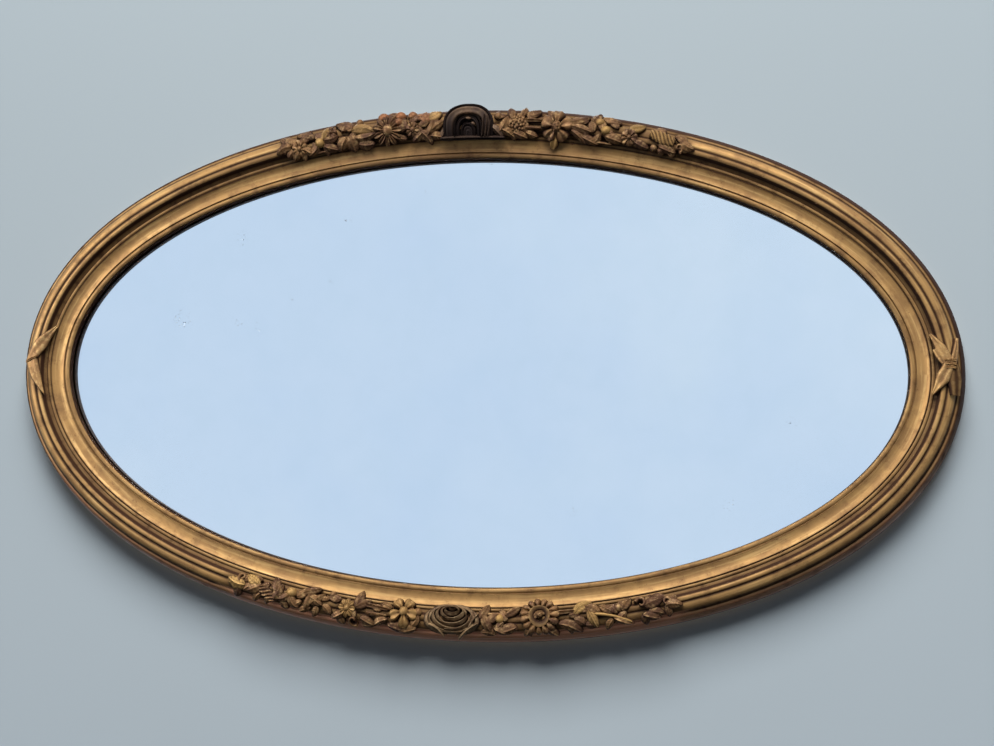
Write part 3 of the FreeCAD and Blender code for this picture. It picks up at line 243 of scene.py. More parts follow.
def frame_quarter(label, quarter):
    """One quarter of the ring, with its ends closed and its pattern run along the moulding."""
    rows = len(section) - 1

    def place(u, v):
        offset, height, hollow = section[round((v + 1) / 2 * rows)]
        angle = (quarter + u) * math.pi / 2
        x, y, z = rim_place(angle, offset, height)
        covered = under_spray(x, z, offset)
        hollow = max(hollow, browned(angle, offset))
        # On the lower half the outer reed and side show the clay, painted light, in place of the dark mark.
        if z < 0 and BARE_CLAY_START < offset < BARE_CLAY_END:
            if offset > SIDE_START:
                covered = max(covered, BARE_SIDE_SHARE * min(-z / BARE_CLAY_DROP, 1))
            return x, y, z, hollow * (1 - covered), BARE_CLAY_SHARE * covered
        return x, y, z, max(hollow, SPRAY_SHADE * covered), 0.0

    piece = grid_piece(label + "_gilded", QUARTER_COLUMNS, rows, place)
    for texel in piece.data.uv_layers[0].data:
        u, v = texel.uv
        texel.uv = ((quarter + u) * rim_length / 4, section_run[round(v * rows)])
    bpy.ops.object.mode_set(mode="EDIT")
    bpy.ops.mesh.select_all(action="SELECT")
    bpy.ops.mesh.remove_doubles(threshold=WELD)
    bpy.ops.mesh.select_all(action="SELECT")
    bpy.ops.mesh.fill_holes(sides=0)
    bpy.ops.object.mode_set(mode="OBJECT")
    faces_outwards()
    bpy.ops.object.shade_smooth_by_angle(angle=SMOOTH_UP_TO)
    piece.data.materials.append(gilt_wood)
    piece.data.materials.append(bare_wood)
    for face in piece.data.polygons:
        middle = face.center
        behind_lip = middle.y > wood_back - REBATE_DEPTH + REBATE_MARGIN and face.normal.y > -0.1
        in_rebate = math.hypot(middle.x / (SIGHT_HALF_WIDTH + REBATE_WIDTH + REBATE_MARGIN),
                               middle.z / (SIGHT_HALF_HEIGHT + REBATE_WIDTH + REBATE_MARGIN)) < 1
        if face.normal.y > 0.9 or (behind_lip and in_rebate):
            face.material_index = 1
    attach(piece, "frame")
    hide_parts(label)


def start_material(name):
    """An empty finish: the material, its node tree, its shader and the piece's own coordinates."""
    material = bpy.data.materials.new(name)
    material.use_nodes = True
    tree = material.node_tree
    tree.nodes.clear()
    output = tree.nodes.new("ShaderNodeOutputMaterial")
    shader = tree.nodes.new("ShaderNodeBsdfPrincipled")
    tree.links.new(shader.outputs["BSDF"], output.inputs["Surface"])
    return material, tree, shader, stretched(tree, "Object", (1, 1, 1))


def feed(tree, socket, source):
    """Joins a socket to another node's output, or sets it to a plain value."""
    if isinstance(source, bpy.types.NodeSocket):
        tree.links.new(source, socket)
    elif source is not None:
        socket.default_value = source


def finish_node(tree, kind, output, inputs, **settings):
    """Adds a node to a finish, sets it, feeds its inputs and gives back one of its outputs."""
    added = tree.nodes.new("ShaderNode" + kind)
    for name, value in settings.items():
        setattr(added, name, value)
    for name, source in inputs.items():
        feed(tree, added.inputs[name], source)
    return added.outputs[output]


def painted(tree, shader, colour, rough, relief=None, metal=0.0):
    """Gives a shader its colour, roughness, relief and share of metal."""
    feed(tree, shader.inputs["Base Color"], colour)
    feed(tree, shader.inputs["Roughness"], rough)
    feed(tree, shader.inputs["Normal"], relief)
    feed(tree, shader.inputs["Metallic"], metal)


def stretched(tree, kind, scale):
    """Coordinates of a kind, squeezed or stretched by a scale for each axis."""
    coordinates = finish_node(tree, "TexCoord", kind, {})
    return finish_node(tree, "Mapping", "Vector", {"Vector": coordinates, "Scale": scale})


def clouds(tree, vector, scale, detail=4.0, rough=0.55):
    """Soft noise, from 0 to 1."""
    return finish_node(tree, "TexNoise", "Fac",
                       {"Vector": vector, "Scale": scale, "Detail": detail, "Roughness": rough})


def between(tree, source, low, high, to_low=0.0, to_high=1.0):
    """A value spread from one range to another and held inside it."""
    return finish_node(tree, "MapRange", "Result",
                       {"Value": source, "From Min": low, "From Max": high,
                        "To Min": to_low, "To Max": to_high}, interpolation_type="SMOOTHSTEP")


def sums(tree, operation, first, second):
    """Two values added, multiplied or compared, and held from 0 to 1."""
    return finish_node(tree, "Math", "Value", {0: first, 1: second}, operation=operation, use_clamp=True)


def blended(tree, factor, first, second):
    """A colour mixed from two."""
    return finish_node(tree, "Mix", "Result", {"Factor": factor, "A": first, "B": second}, data_type="RGBA")


def raised(tree, height, strength, distance, under=None):
    """Fine relief, laid over another where one is given."""
    return finish_node(tree, "Bump", "Normal",
                       {"Height": height, "Strength": strength, "Distance": distance, "Normal": under})


def marked(tree, name):
    """A value that was marked on the piece's points."""
    return finish_node(tree, "Attribute", "Fac", {}, attribute_name=name)


LEAF_GOLD = (0.415, 0.236, 0.087, 1)
PALE_GOLD = (0.70, 0.445, 0.178, 1)
DULL_GOLD = (0.315, 0.175, 0.068, 1)
BRIGHT_GOLD = (0.50, 0.300, 0.098, 1)
OLD_GRIME = (0.110, 0.058, 0.030, 1)
RED_CLAY = (0.17, 0.060, 0.026, 1)
WARM_CLAY = (0.30, 0.120, 0.050, 1)
# The ring's clay where it shows on the lower half is painted light: paler than the clay itself.
CLAY_WITH_PAINTED_LIGHT = (0.66, 0.30, 0.17, 1)
DIRT_AND_SHADE_BROWN = (0.046, 0.020, 0.010, 1)
WOOD_STAIN = (0.10, 0.06, 0.035, 1)
STREAK_SCALE = 260
PATCH_SCALE = 42
GRIME_SCALE = 75
SPECK_SCALE = 620
MATT_GLOSS = 0.1


def gilding(name, gold, pale, dull, dirt_and_shade, metal, clay=WARM_CLAY, kind="Object", along=(1, 1, 1)):
    """Worn leaf over red clay, darkened where the piece is marked with grime and painted shade. along
    stretches its streaks.
    """
    material, tree, shader, even = start_material(name)
    flow = stretched(tree, kind, along)
    streaks = clouds(tree, flow, STREAK_SCALE, 5)
    patches = clouds(tree, even, PATCH_SCALE, 4)
    grime = clouds(tree, even, GRIME_SCALE, 5, 0.65)
    specks = clouds(tree, even, SPECK_SCALE, 3, 0.7)
    leaf_colour = blended(tree, between(tree, patches, 0.38, 0.62), dull, gold)
    leaf_colour = blended(tree, between(tree, streaks, 0.46, 0.72, 0.0, 0.65), leaf_colour, pale)
    rubbed = sums(tree, "MULTIPLY", between(tree, specks, 0.60, 0.68), between(tree, grime, 0.45, 0.6))
    leaf_colour = blended(tree, rubbed, leaf_colour, RED_CLAY)
    leaf_colour = blended(tree, between(tree, grime, 0.46, 0.72, 0.0, 0.36), leaf_colour, OLD_GRIME)
    bare_clay = sums(tree, "MULTIPLY", marked(tree, "clay"), between(tree, grime, 0.3, 0.6, 0.6, 1.0))
    leaf_colour = blended(tree, bare_clay, leaf_colour, clay)
    leaf_colour = blended(tree, marked(tree, "bright"), leaf_colour, BRIGHT_GOLD)
    # The hollow mark brings in grime and painted shade: where it is high, the leaf turns to the dark
    # colour.
    dirt_and_shade_share = sums(tree, "ADD", marked(tree, "hollow"), between(tree, grime, 0.5, 0.8, 0.0, 0.18))
    dirt_and_shade_share = between(tree, dirt_and_shade_share, 0.1, 0.9)
    shine = between(tree, dirt_and_shade_share, 0.0, 0.9, metal, metal * 0.25)
    rough = between(tree, grime, 0.3, 0.75, 0.42, 0.58)
    rough = sums(tree, "ADD", rough, between(tree, dirt_and_shade_share, 0.1, 1.0, 0.0, 0.25))
    relief = raised(tree, streaks, 0.20, 0.0004)
    relief = raised(tree, grime, 0.25, 0.0006, relief)
    relief = raised(tree, specks, 0.22, 0.0002, relief)
    painted(tree, shader, blended(tree, dirt_and_shade_share, leaf_colour, dirt_and_shade), rough, relief, shine)
    shader.inputs["Specular IOR Level"].default_value = MATT_GLOSS
    return material


def plain_wood(name, pale, dark, rough, kind="Object", along=(1, 1, 1)):
    """Sawn wood whose grain is stretched along one axis."""
    material, tree, shader, even = start_material(name)
    flow = stretched(tree, kind, along)
    bands = clouds(tree, flow, 60, 6, 0.6)
    fibres = clouds(tree, flow, 420, 4, 0.6)
    stains = clouds(tree, even, 11, 4)
    grain = sums(tree, "ADD", between(tree, bands, 0.35, 0.68, 0.0, 0.8),
                 between(tree, fibres, 0.4, 0.7, 0.0, 0.3))
    colour = blended(tree, grain, pale, dark)
    colour = blended(tree, between(tree, stains, 0.5, 0.75, 0.0, 0.45), colour, WOOD_STAIN)
    relief = raised(tree, bands, 0.25, 0.0006)
    painted(tree, shader, colour, rough, raised(tree, fibres, 0.35, 0.0003, relief))
    return material


gilt_wood = gilding("gilt_wood", LEAF_GOLD, PALE_GOLD, DULL_GOLD, DIRT_AND_SHADE_BROWN, 0.27, CLAY_WITH_PAINTED_LIGHT,
                    "UV", (0.06, 1.0, 1.0))
bare_wood = plain_wood("bare_frame_wood", (0.43, 0.28, 0.15, 1), (0.22, 0.13, 0.065, 1), 0.75,
                       "UV", (0.05, 1.0, 1.0))
for number, place_name in enumerate(("top_right", "top_left", "bottom_left", "bottom_right")):
    frame_quarter("frame_quarter_" + place_name, number)


# Beech dowels, turned and arrised, are glued across each joint of the ring, two to a joint. They
# hold the four quarters to each other and are hidden inside.


def dress(label, material):
    """Gives a solid that is right as it stands its own finish."""
    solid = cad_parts[label]
    solid.data.materials.clear()
    solid.data.materials.append(material)


dress("splice_dowels", plain_wood("dowel_beech", (0.55, 0.38, 0.22, 1), (0.36, 0.23, 0.12, 1), 0.7))


# The mirror plate is clear drawn glass with a small arris. Its back is silvered and painted, and
# the silver has foxed in small dark specks and at a few chips along the top edge.
GLASS_INDEX = 1.5
CLEAR_GLASS = (0.985, 1.0, 0.995, 1)
SMEARED_GLASS = (0.96, 0.985, 0.98, 1)
BRIGHT_SILVER = (0.90, 0.925, 0.94, 1)
HAZY_SILVER = (0.86, 0.90, 0.935, 1)
FOXED_SILVER = (0.10, 0.11, 0.13, 1)
SILVER_BITE = 0.00005
COAT_SIDES = 192
# Where the silver has foxed: across, up, and how far each patch reaches.
FOXED_PLACES = (
    (-0.234, 0.128, 0.010), (-0.128, 0.146, 0.006), (-0.290, 0.048, 0.014), (-0.234, 0.047, 0.008),
    (-0.054, 0.170, 0.006), (-0.213, 0.041, 0.008), (-0.144, 0.084, 0.006), (-0.182, 0.068, 0.006),
    (-0.256, 0.156, 0.012), (0.295, -0.045, 0.008), (0.239, -0.120, 0.008), (0.094, -0.130, 0.006),
    (0.164, -0.053, 0.006), (0.007, 0.202, 0.008), (0.089, 0.198, 0.006), (0.105, 0.196, 0.005),
)


def plate_glass():
    """Clear glass, a little smeared and not quite flat."""
    material, tree, shader, even = start_material("plate_glass")
    shader.inputs["Transmission Weight"].default_value = 1.0
    shader.inputs["IOR"].default_value = GLASS_INDEX
    smears = clouds(tree, even, 34, 4)
    colour = blended(tree, between(tree, smears, 0.3, 0.8), CLEAR_GLASS, SMEARED_GLASS)
    painted(tree, shader, colour, between(tree, smears, 0.55, 0.85, 0.0, 0.03),
            raised(tree, clouds(tree, even, 9, 2), 0.05, 0.0003))
    return material


def old_silver(coat_front):
    """Silver gone hazy, with dark specks where it has foxed."""
    material, tree, shader, even = start_material("old_silvering")
    fine = clouds(tree, even, 520, 3, 0.6)
    coarse = clouds(tree, even, 150, 3, 0.6)
    spotted = 0.0
    for x, z, reach in FOXED_PLACES:
        away = finish_node(tree, "VectorMath", "Value", {0: even, 1: (x, coat_front, z)},
                           operation="DISTANCE")
        spotted = sums(tree, "MAXIMUM", spotted, between(tree, away, reach * 0.15, reach, 1.0, 0.0))
    crumbs = sums(tree, "MULTIPLY", between(tree, fine, 0.56, 0.66), between(tree, coarse, 0.45, 0.6))
    foxed = sums(tree, "MULTIPLY", spotted, crumbs)
    foxed = sums(tree, "MAXIMUM", foxed, between(tree, fine, 0.76, 0.80))
    haze = between(tree, clouds(tree, even, 6, 3), 0.4, 0.75)
    silver = blended(tree, haze, BRIGHT_SILVER, HAZY_SILVER)
    painted(tree, shader, blended(tree, foxed, silver, FOXED_SILVER),
            between(tree, foxed, 0.0, 1.0, 0.0, 0.45), metal=1.0)
    return material


def silver_coat():
    """The coat on the plate's back, set a hair into the glass so that no air shows between them."""
    low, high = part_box("mirror_silvering")
    piece = primitive("silver_coat", bpy.ops.mesh.primitive_cylinder_add, vertices=COAT_SIDES, radius=1,
                      depth=2)
    for vertex in piece.data.vertices:
        x, y, z = vertex.co
        vertex.co = ((low.x + high.x) / 2 + x * (high.x - low.x) / 2,
                     low.y - SILVER_BITE if z > 0 else high.y,
                     (low.z + high.z) / 2 + y * (high.z - low.z) / 2)
    faces_outwards()
    piece.data.materials.append(old_silver(low.y))
    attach(piece, "frame")
    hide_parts("mirror_silvering")


dress("mirror_glass", plate_glass())
silver_coat()


# Softwood blocks hold the plate. They are short wedges of pine, glued round the rebate, and they
# press it against the lip.
dress("glass_glue_blocks",
      plain_wood("glue_block_pine", (0.56, 0.40, 0.22, 1), (0.38, 0.24, 0.11, 1), 0.8))


# The backboard closes the rebate and keeps dust off the silver. It is one thin oval board with a
# bevelled edge, dark with age, and it is pinned to the ring.
dress("backboard", plain_wood("backboard_wood", (0.36, 0.23, 0.125, 1), (0.19, 0.112, 0.055, 1), 0.8,
                              along=(0.05, 1.0, 1.0)))


# The pins are steel, and the straps, rings and screws are brass, dulled and browned by time.
# Each strap is bent round its ring's bar and screwed to the back of the ring.


def dull_metal(name, bright, dark, rough):
    """Metal with brown tarnish, which is rougher than what is left bright."""
    material, tree, shader, even = start_material(name)
    tarnish = clouds(tree, even, 190, 5, 0.65)
    painted(tree, shader, blended(tree, between(tree, tarnish, 0.38, 0.66), bright, dark),
            between(tree, tarnish, 0.35, 0.7, rough, rough + 0.3),
            raised(tree, clouds(tree, even, 900, 3, 0.6), 0.2, 0.0001), metal=1.0)
    return material


dress("backboard_pins", dull_metal("pin_steel", (0.42, 0.41, 0.40, 1), (0.20, 0.13, 0.09, 1), 0.35))
hanger_brass = dull_metal("hanger_brass", (0.66, 0.48, 0.22, 1), (0.30, 0.19, 0.085, 1), 0.28)
screw_brass = dull_metal("screw_brass", (0.70, 0.52, 0.25, 1), (0.33, 0.21, 0.10, 1), 0.3)
for side_name in ("left", "right"):
    dress("strap_hanger_" + side_name, hanger_brass)
    dress("hanging_ring_" + side_name, hanger_brass)
    dress("hanger_screws_" + side_name, screw_brass)


# The ornament is cast composition, pressed in carved moulds, and bent warm onto the reeds along
# an even crown. Each casting is laid out flat in the mould first and then bent to its place.
CROWN_OFFSET = 0.03132
CROWN_HEIGHT = 0.01392
CROWN_RADIUS = 0.01528
OVERHANG_LEAN = math.radians(25)
SIDES = {"top": (90, -1), "bottom": (270, 1), "left": (180, -1), "right": (0, 1)}
WALK_REACH = 0.26
WALK_STEPS = 520
CAST_SMOOTH_UP_TO = math.radians(42)


def walk(side):
    """Angles round the oval at even distances along the crown, both ways from a side's middle."""
    start, direction = SIDES[side]
    angles = {0: math.radians(start)}
    for way in (1, -1):
        turn = math.radians(start)
        for i in range(1, WALK_STEPS + 1):
            speed = math.hypot(SIGHT_HALF_WIDTH * math.sin(turn), SIGHT_HALF_HEIGHT * math.cos(turn))
            stretch = speed + SIGHT_HALF_WIDTH * SIGHT_HALF_HEIGHT * CROWN_OFFSET / speed ** 2
            turn += way * direction * WALK_REACH / WALK_STEPS / stretch
            angles[way * i] = turn
    return angles


walks = {side: walk(side) for side in SIDES}


def on_crown(side, along, across, lift, outer_lean=math.pi / 2):
    """A point of a casting: distance along the rim, arc across the crown, height above it."""
    lean = min(max(across / CROWN_RADIUS, -OVERHANG_LEAN), outer_lean)
    straight = across - lean * CROWN_RADIUS
    reach = CROWN_RADIUS + lift
    offset = CROWN_OFFSET + reach * math.sin(lean) + straight * math.cos(lean)
    height = CROWN_HEIGHT + reach * math.cos(lean) - straight * math.sin(lean)
    position = along / WALK_REACH * WALK_STEPS
    lower = math.floor(position)
    angles = walks[side]
    angle = angles[lower] + (angles[lower + 1] - angles[lower]) * (position - lower)
    return rim_place(angle, offset, height)


MOULD_SINK = 0.0035
CAST_EDGE = 0.0011
TANGENT_STEP = 0.02
THIN_TIP = 0.00005
BOW_MEAN = 0.33


def strip(columns, rows, centre, half_width, height):
    """A raised strip along a centre line. height(u, v) gives its lift and how dark it is made by grime and
    painted shade, up to 1.
    """

    def place(u, v):
        x, y = centre(u)
        ahead = centre(min(u + TANGENT_STEP, 1))
        behind = centre(max(u - TANGENT_STEP, 0))
        run = Vector((ahead[0] - behind[0], ahead[1] - behind[1])).normalized()
        reach = v * half_width(u)
        lift, hollow = height(u, v)
        return x - run.y * reach, y + run.x * reach, lift, min(hollow, 1)

    piece = grid_piece("strip", columns, rows, place)
    bpy.ops.object.mode_set(mode="EDIT")
    bpy.ops.mesh.select_all(action="SELECT")
    bpy.ops.mesh.extrude_region_move(TRANSFORM_OT_translate={"value": (0, 0, -MOULD_SINK)})
    bpy.ops.object.mode_set(mode="OBJECT")
    for vertex in piece.data.vertices:
        if vertex.select:
            vertex.co.z = -MOULD_SINK
    return piece


def swelled(rise, share):
    """A lift this share of the way from a casting's thin edge to its full rise."""
    return CAST_EDGE + (rise - CAST_EDGE) * share


def rounded(v, power):
    """How full a strip is across its width, from 1 in its middle to 0 at its edge."""
    return math.sqrt(max(1 - abs(v) ** power, 0))


def ripple(turns):
    """A wave that is 1 at each whole turn and 0 halfway."""
    return 0.5 + 0.5 * math.cos(2 * math.pi * turns)


def bent_line(length, bend=0.0):
    """A centre line over the middle of the mould's bed, straight or bowed."""
    return lambda u: ((u - 0.5) * length, bend * length * ((2 * u - 1) ** 2 - BOW_MEAN))


def dome(radius, rise, squash=1.0, segments=20):
    """A round berry, bud or boss."""
    piece = primitive("dome", bpy.ops.mesh.primitive_uv_sphere_add, segments=segments,
                      ring_count=segments // 2 + 2, radius=radius)
    hollows = []
    for vertex in piece.data.vertices:
        share = vertex.co.z / radius
        vertex.co.y *= squash
        vertex.co.z = max(share * rise, -MOULD_SINK)
        hollows.append(min(max(0.75 - share * 1.1, 0), 1))
    mark(piece, "hollow", hollows)
    return piece


def worn(piece, share):
    """A piece whose leaf is rubbed through to the warm clay."""
    mark(piece, "clay", [share] * len(piece.data.vertices))
    return piece


def shiny(piece, share):
    """A piece whose leaf is still bright."""
    mark(piece, "bright", [share] * len(piece.data.vertices))
    return piece


def darkened(piece, share):
    """A piece with at least this share of the dark mark, which stands for grime and painted shade, all over
    it.
    """
    for point in piece.data.attributes["hollow"].data:
        point.value = max(point.value, share)
    return piece


def drawn_in(piece, share):
    """A piece made narrower across the frame."""
    piece.data.transform(Matrix.Scale(share, 4, (0, 1, 0)))
    return piece


def joined(pieces):
    """Several pieces of one casting made one mesh."""
    bpy.ops.object.select_all(action="DESELECT")
    for piece in pieces:
        piece.select_set(True)
    bpy.context.view_layer.objects.active = pieces[0]
    bpy.ops.object.join()
    return pieces[0]


def moved(piece, x=0.0, y=0.0, turn=0.0, lift=0.0):
    """A piece turned and then shifted on the mould's bed."""
    piece.data.transform(Matrix.Translation((x, y, lift)) @ Matrix.Rotation(turn, 4, "Z"))
    return piece


LEAF_LENGTH = 0.0218
LEAF_WIDTH = 0.0104
LEAF_RISE = 0.0048


def leaf(long_share, wide_share, bend=0.0, lobes=0, veins=6, rise_share=1.0):
    """A pointed leaf with a midrib and side veins, straight or bent, plain or lobed."""

    def half_width(u):
        outline = max(math.sin(math.pi * u ** 0.85), 0) ** 0.7
        if lobes:
            outline *= 1 - 0.3 * ripple(lobes * u)
        return LEAF_WIDTH * wide_share / 2 * outline + THIN_TIP

    def height(u, v):
        swell = rounded(v, 2.2) * max(math.sin(math.pi * u ** 0.8), 0) ** 0.35
        rib = math.exp(-(v / 0.16) ** 2)
        vein = 1 - ripple(veins * u - 1.1 * abs(v))
        groove = vein ** 3 * min(abs(v) * 2.5, 1) * (1 - abs(v) ** 4)
        beside_rib = math.exp(-((abs(v) - 0.27) / 0.1) ** 2)
        return (swelled(LEAF_RISE * rise_share, swell * (0.8 + 0.2 * rib - 0.16 * groove)),
                0.30 * groove + 0.75 * (1 - swell) + 0.35 * beside_rib)

    return strip(22, 14, bent_line(LEAF_LENGTH * long_share, bend), half_width, height)


def petal(length, width, rise, notch=0.0, furrows=1, belly=1.5):
    """One petal, narrow at its root and round at its tip, furrowed along its length."""

    def half_width(u):
        return width / 2 * math.sqrt(max(math.sin(math.pi * (0.04 + 0.96 * u) ** belly), 0)) + THIN_TIP

    def height(u, v):
        crown = rounded(v, 3)
        furrow = ripple(furrows * v) if furrows else 0
        run = 0.45 + 0.55 * math.sin(math.pi * min(u * 0.9 + 0.05, 1)) ** 0.8
        return (swelled(rise, crown * run * (1 - 0.32 * furrow)),
                0.5 * furrow * (1 - u * 0.5) + 0.7 * (1 - crown) + max(0.35 - u, 0))

    piece = strip(14, 12, lambda u: (u * length, 0.0), half_width, height)
    if notch:
        for vertex in piece.data.vertices:
            share = vertex.co.x / length
            vertex.co.x -= notch * length * share ** 6 * math.exp(-(vertex.co.y / (width * 0.16)) ** 2)
    return piece


GOLDEN_ANGLE = 2.39996
SEED_SEGMENTS = 8
SEED_SPREAD = 0.86
SEED_SHARE = 0.19
BOSS_RISE_SHARE = 0.75
BOSS_LIFT_SHARE = 0.42


def seeds_on(boss, spread, size, count, rise, lift):
    """Seeds over a domed boss, in a sunflower's order."""
    seeds = []
    for i in range(count):
        reach = boss * spread * math.sqrt((i + 0.5) / count)
        swing = i * GOLDEN_ANGLE
        crown = rise * math.sqrt(max(1 - (reach / boss) ** 2, 0))
        seeds.append(moved(dome(size, size, segments=SEED_SEGMENTS), reach * math.cos(swing),
                           reach * math.sin(swing), lift=lift + crown))
    return seeds


def flower(radius, petals, rise, boss_share=0.3, notch=0.0, furrows=1, fullness=1.4, seeds=0, turn=0.0,
           belly=1.8, root_share=0.15):
    """An open flower: petals round a domed boss, which may be stippled with seeds."""
    pieces = []
    width = 2 * math.pi * radius * 0.62 / petals * fullness
    for i in range(petals):
        one = petal(radius * (1 - root_share), width, rise * (0.94 + 0.12 * (i % 2)), notch, furrows, belly)
        pieces.append(moved(moved(one, radius * root_share), turn=turn + 2 * math.pi * i / petals))
    boss = radius * boss_share
    boss_rise = rise * BOSS_RISE_SHARE
    boss_lift = rise * BOSS_LIFT_SHARE
    pieces.append(moved(dome(boss, boss_rise), lift=boss_lift))
    pieces += seeds_on(boss, SEED_SPREAD, boss * SEED_SHARE, seeds, boss_rise, boss_lift)
    return joined(pieces)


def scroll(radius, turns, width, rise, mirrored=False):
    """A leaf end rolled into a spiral, with a dark eye."""
    whole_swing = 2 * math.pi * (-turns if mirrored else turns)

    def centre(u):
        reach = radius * (1 - 0.72 * u)
        return reach * math.cos(whole_swing * u), reach * math.sin(whole_swing * u)

    def height(u, v):
        crown = rounded(v, 2)
        return swelled(rise, crown * (0.75 + 0.25 * u)), 0.9 * (1 - crown) + 0.1

    return strip(36, 8, centre, lambda u: width / 2 * (1 - 0.55 * u), height)


def stem(length, width, rise, bend=0.0, ridges=1):
    """A stalk or a ribbed tail along the mould, tapering to its far end."""

    def half_width(u):
        return width / 2 * (1 - 0.45 * u) * min(1, 12 * u + 0.3) * min(1, 12 * (1 - u) + 0.2)

    def height(u, v):
        crown = rounded(v, 2.5)
        furrow = ripple(ridges * v) if ridges > 1 else 0
        return swelled(rise, crown * (1 - 0.35 * furrow)), 0.8 * (1 - crown) + 0.6 * furrow

    return strip(18, 10, bent_line(length, bend), half_width, height)


def lay(piece, side, along, across, heading, outer_lean=math.pi / 2):
    """Bends a flat piece onto the crown at its place on the rim."""
    turn = math.radians(heading)
    for vertex in piece.data.vertices:
        x, y, z = vertex.co
        vertex.co = on_crown(side, along + x * math.cos(turn) - y * math.sin(turn),
                             across + x * math.sin(turn) + y * math.cos(turn), z, outer_lean)
    return piece


def crown_arc(share):
    """The arc across the crown at a share of the way across the frame, from the sight edge."""
    return FRAME_WIDTH * share - CROWN_OFFSET


def cast(label, pieces, material):
    """Makes one casting of its laid pieces and gives it its finish and its place on the ring."""
    whole = joined(pieces)
    whole.name = label + "_cast"
    whole.data.name = whole.name
    faces_outwards()
    bpy.ops.object.shade_smooth_by_angle(angle=CAST_SMOOTH_UP_TO)
    whole.data.materials.clear()
    whole.data.materials.append(material)
    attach(whole, "frame")
    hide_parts(label)


gilt_casting = gilding("gilt_casting", (0.220, 0.114, 0.046, 1), (0.53, 0.335, 0.148, 1),
                       (0.100, 0.048, 0.026, 1), (0.030, 0.012, 0.008, 1), 0.25)

# Small low leaves fill the gaps: how far apart they stand, and the rows across that they lie in.
FILL_PITCH = 0.0052
FILL_ROWS = (0.77, 0.50, 0.66, 0.45, 0.72, 0.57)
FILL_RISE_SHARE = 0.66


def fill_leaves(side, low, high):
    """Small leaves at odd headings, low between the larger ones."""
    laid = []
    count = max(2, round((high - low) / FILL_PITCH))
    for i in range(count):
        along = low + (high - low) * (i + 0.5) / count + random.uniform(-0.001, 0.001)
        across = FILL_ROWS[i % len(FILL_ROWS)] + random.uniform(-0.03, 0.03)
        one = leaf(random.uniform(0.5, 0.7), random.uniform(0.6, 0.85), random.uniform(-0.15, 0.15),
                   rise_share=FILL_RISE_SHARE)
        laid.append(lay(one, side, along, crown_arc(across), random.uniform(0, 360)))
    return laid


# The castings on the top half are darkened a little all over.
TOP_DARKENING_SHARE = 0.3


def sprig(label, side, reach, *items):
    """A casting from its pieces, each with its shares along the spray and across the frame."""
    laid = [lay(piece, side, reach * along, crown_arc(across), heading)
            for piece, along, across, heading in items]
    places = [reach * item[1] for item in items]
    laid += fill_leaves(side, min(places), max(places))
    if side == "top":
        laid = [darkened(one, TOP_DARKENING_SHARE) for one in laid]
    cast(label, laid, gilt_casting)


# The spray left of the crest is pressed in five castings that lap over one another. It runs from
# its lobed tip by a berry, curled leaves and a daisy to the gold leaves beside the rose.
TOP_LEFT_REACH = 0.193
BERRY_RADIUS = 0.0048
DAISY_RADIUS = 0.0145
DAISY_RISE = 0.0060
SMALL_FLOWER_RADIUS = 0.0080
SMALL_FLOWER_RISE = 0.0046

sprig("top_left_tip_sprig", "top", TOP_LEFT_REACH,
      (leaf(0.75, 1.1, 0.1, 3), -0.985, 0.60, 190),
      (leaf(0.60, 0.9), -0.955, 0.72, 130),
      (leaf(0.62, 0.9, -0.1), -0.93, 0.46, 245),
      (scroll(0.0042, 0.9, 0.0036, 0.0042), -0.945, 0.66, 20),
      (flower(SMALL_FLOWER_RADIUS, 5, SMALL_FLOWER_RISE, 0.32, 0.12), -0.905, 0.55, 0),
      (leaf(0.55, 0.8), -0.86, 0.46, 320))
sprig("top_left_berry_sprig", "top", TOP_LEFT_REACH,
      (leaf(0.85, 0.8, 0.15), -0.865, 0.74, 160),
      (leaf(0.70, 0.8, -0.1), -0.835, 0.46, 215),
      (shiny(dome(BERRY_RADIUS, BERRY_RADIUS * 1.15), 0.7), -0.80, 0.57, 0),
      (shiny(leaf(0.75, 0.8, -0.15), 0.5), -0.755, 0.72, 45),
      (leaf(0.70, 0.8, 0.1), -0.74, 0.60, 5),
      (flower(SMALL_FLOWER_RADIUS * 0.7, 5, SMALL_FLOWER_RISE, 0.3), -0.735, 0.70, 15),
      (leaf(0.70, 0.9), -0.745, 0.44, 335),
      (stem(0.020, 0.003, 0.0026), -0.775, 0.40, 0))
sprig("top_left_curled_leaves", "top", TOP_LEFT_REACH,
      (leaf(0.70, 1.1, 0.1), -0.685, 0.46, 235),
      (scroll(0.0056, 0.85, 0.0046, 0.0052, True), -0.645, 0.70, 190),
      (leaf(0.95, 1.1, 0.12), -0.665, 0.80, 150),
      (shiny(leaf(1.15, 1.0, -0.12, 0, 7), 0.4), -0.575, 0.66, 350),
      (leaf(1.10, 0.8, 0.1, 0, 7), -0.565, 0.54, 5),
      (dome(BERRY_RADIUS * 0.72, BERRY_RADIUS * 0.9), -0.59, 0.84, 0),
      (leaf(0.80, 1.3, 0.0), -0.635, 0.44, 280),
      (leaf(0.75, 1.2, 0.1), -0.565, 0.40, 355))
sprig("top_left_daisy", "top", TOP_LEFT_REACH,
      (flower(DAISY_RADIUS, 11, DAISY_RISE, 0.37, fullness=1.15, belly=1.7), -0.45, 0.585, 0),
      (worn(dome(0.0060, 0.0062, 0.8), 0.9), -0.470, 0.86, 0),
      (worn(dome(0.0056, 0.0060, 0.85), 1.0), -0.385, 0.85, 0),
      (worn(dome(0.0046, 0.0066, 0.9), 0.8), -0.392, 0.70, 0),
      (leaf(0.65, 1.1), -0.375, 0.66, 70),
      (leaf(0.60, 0.9), -0.425, 0.90, 20))
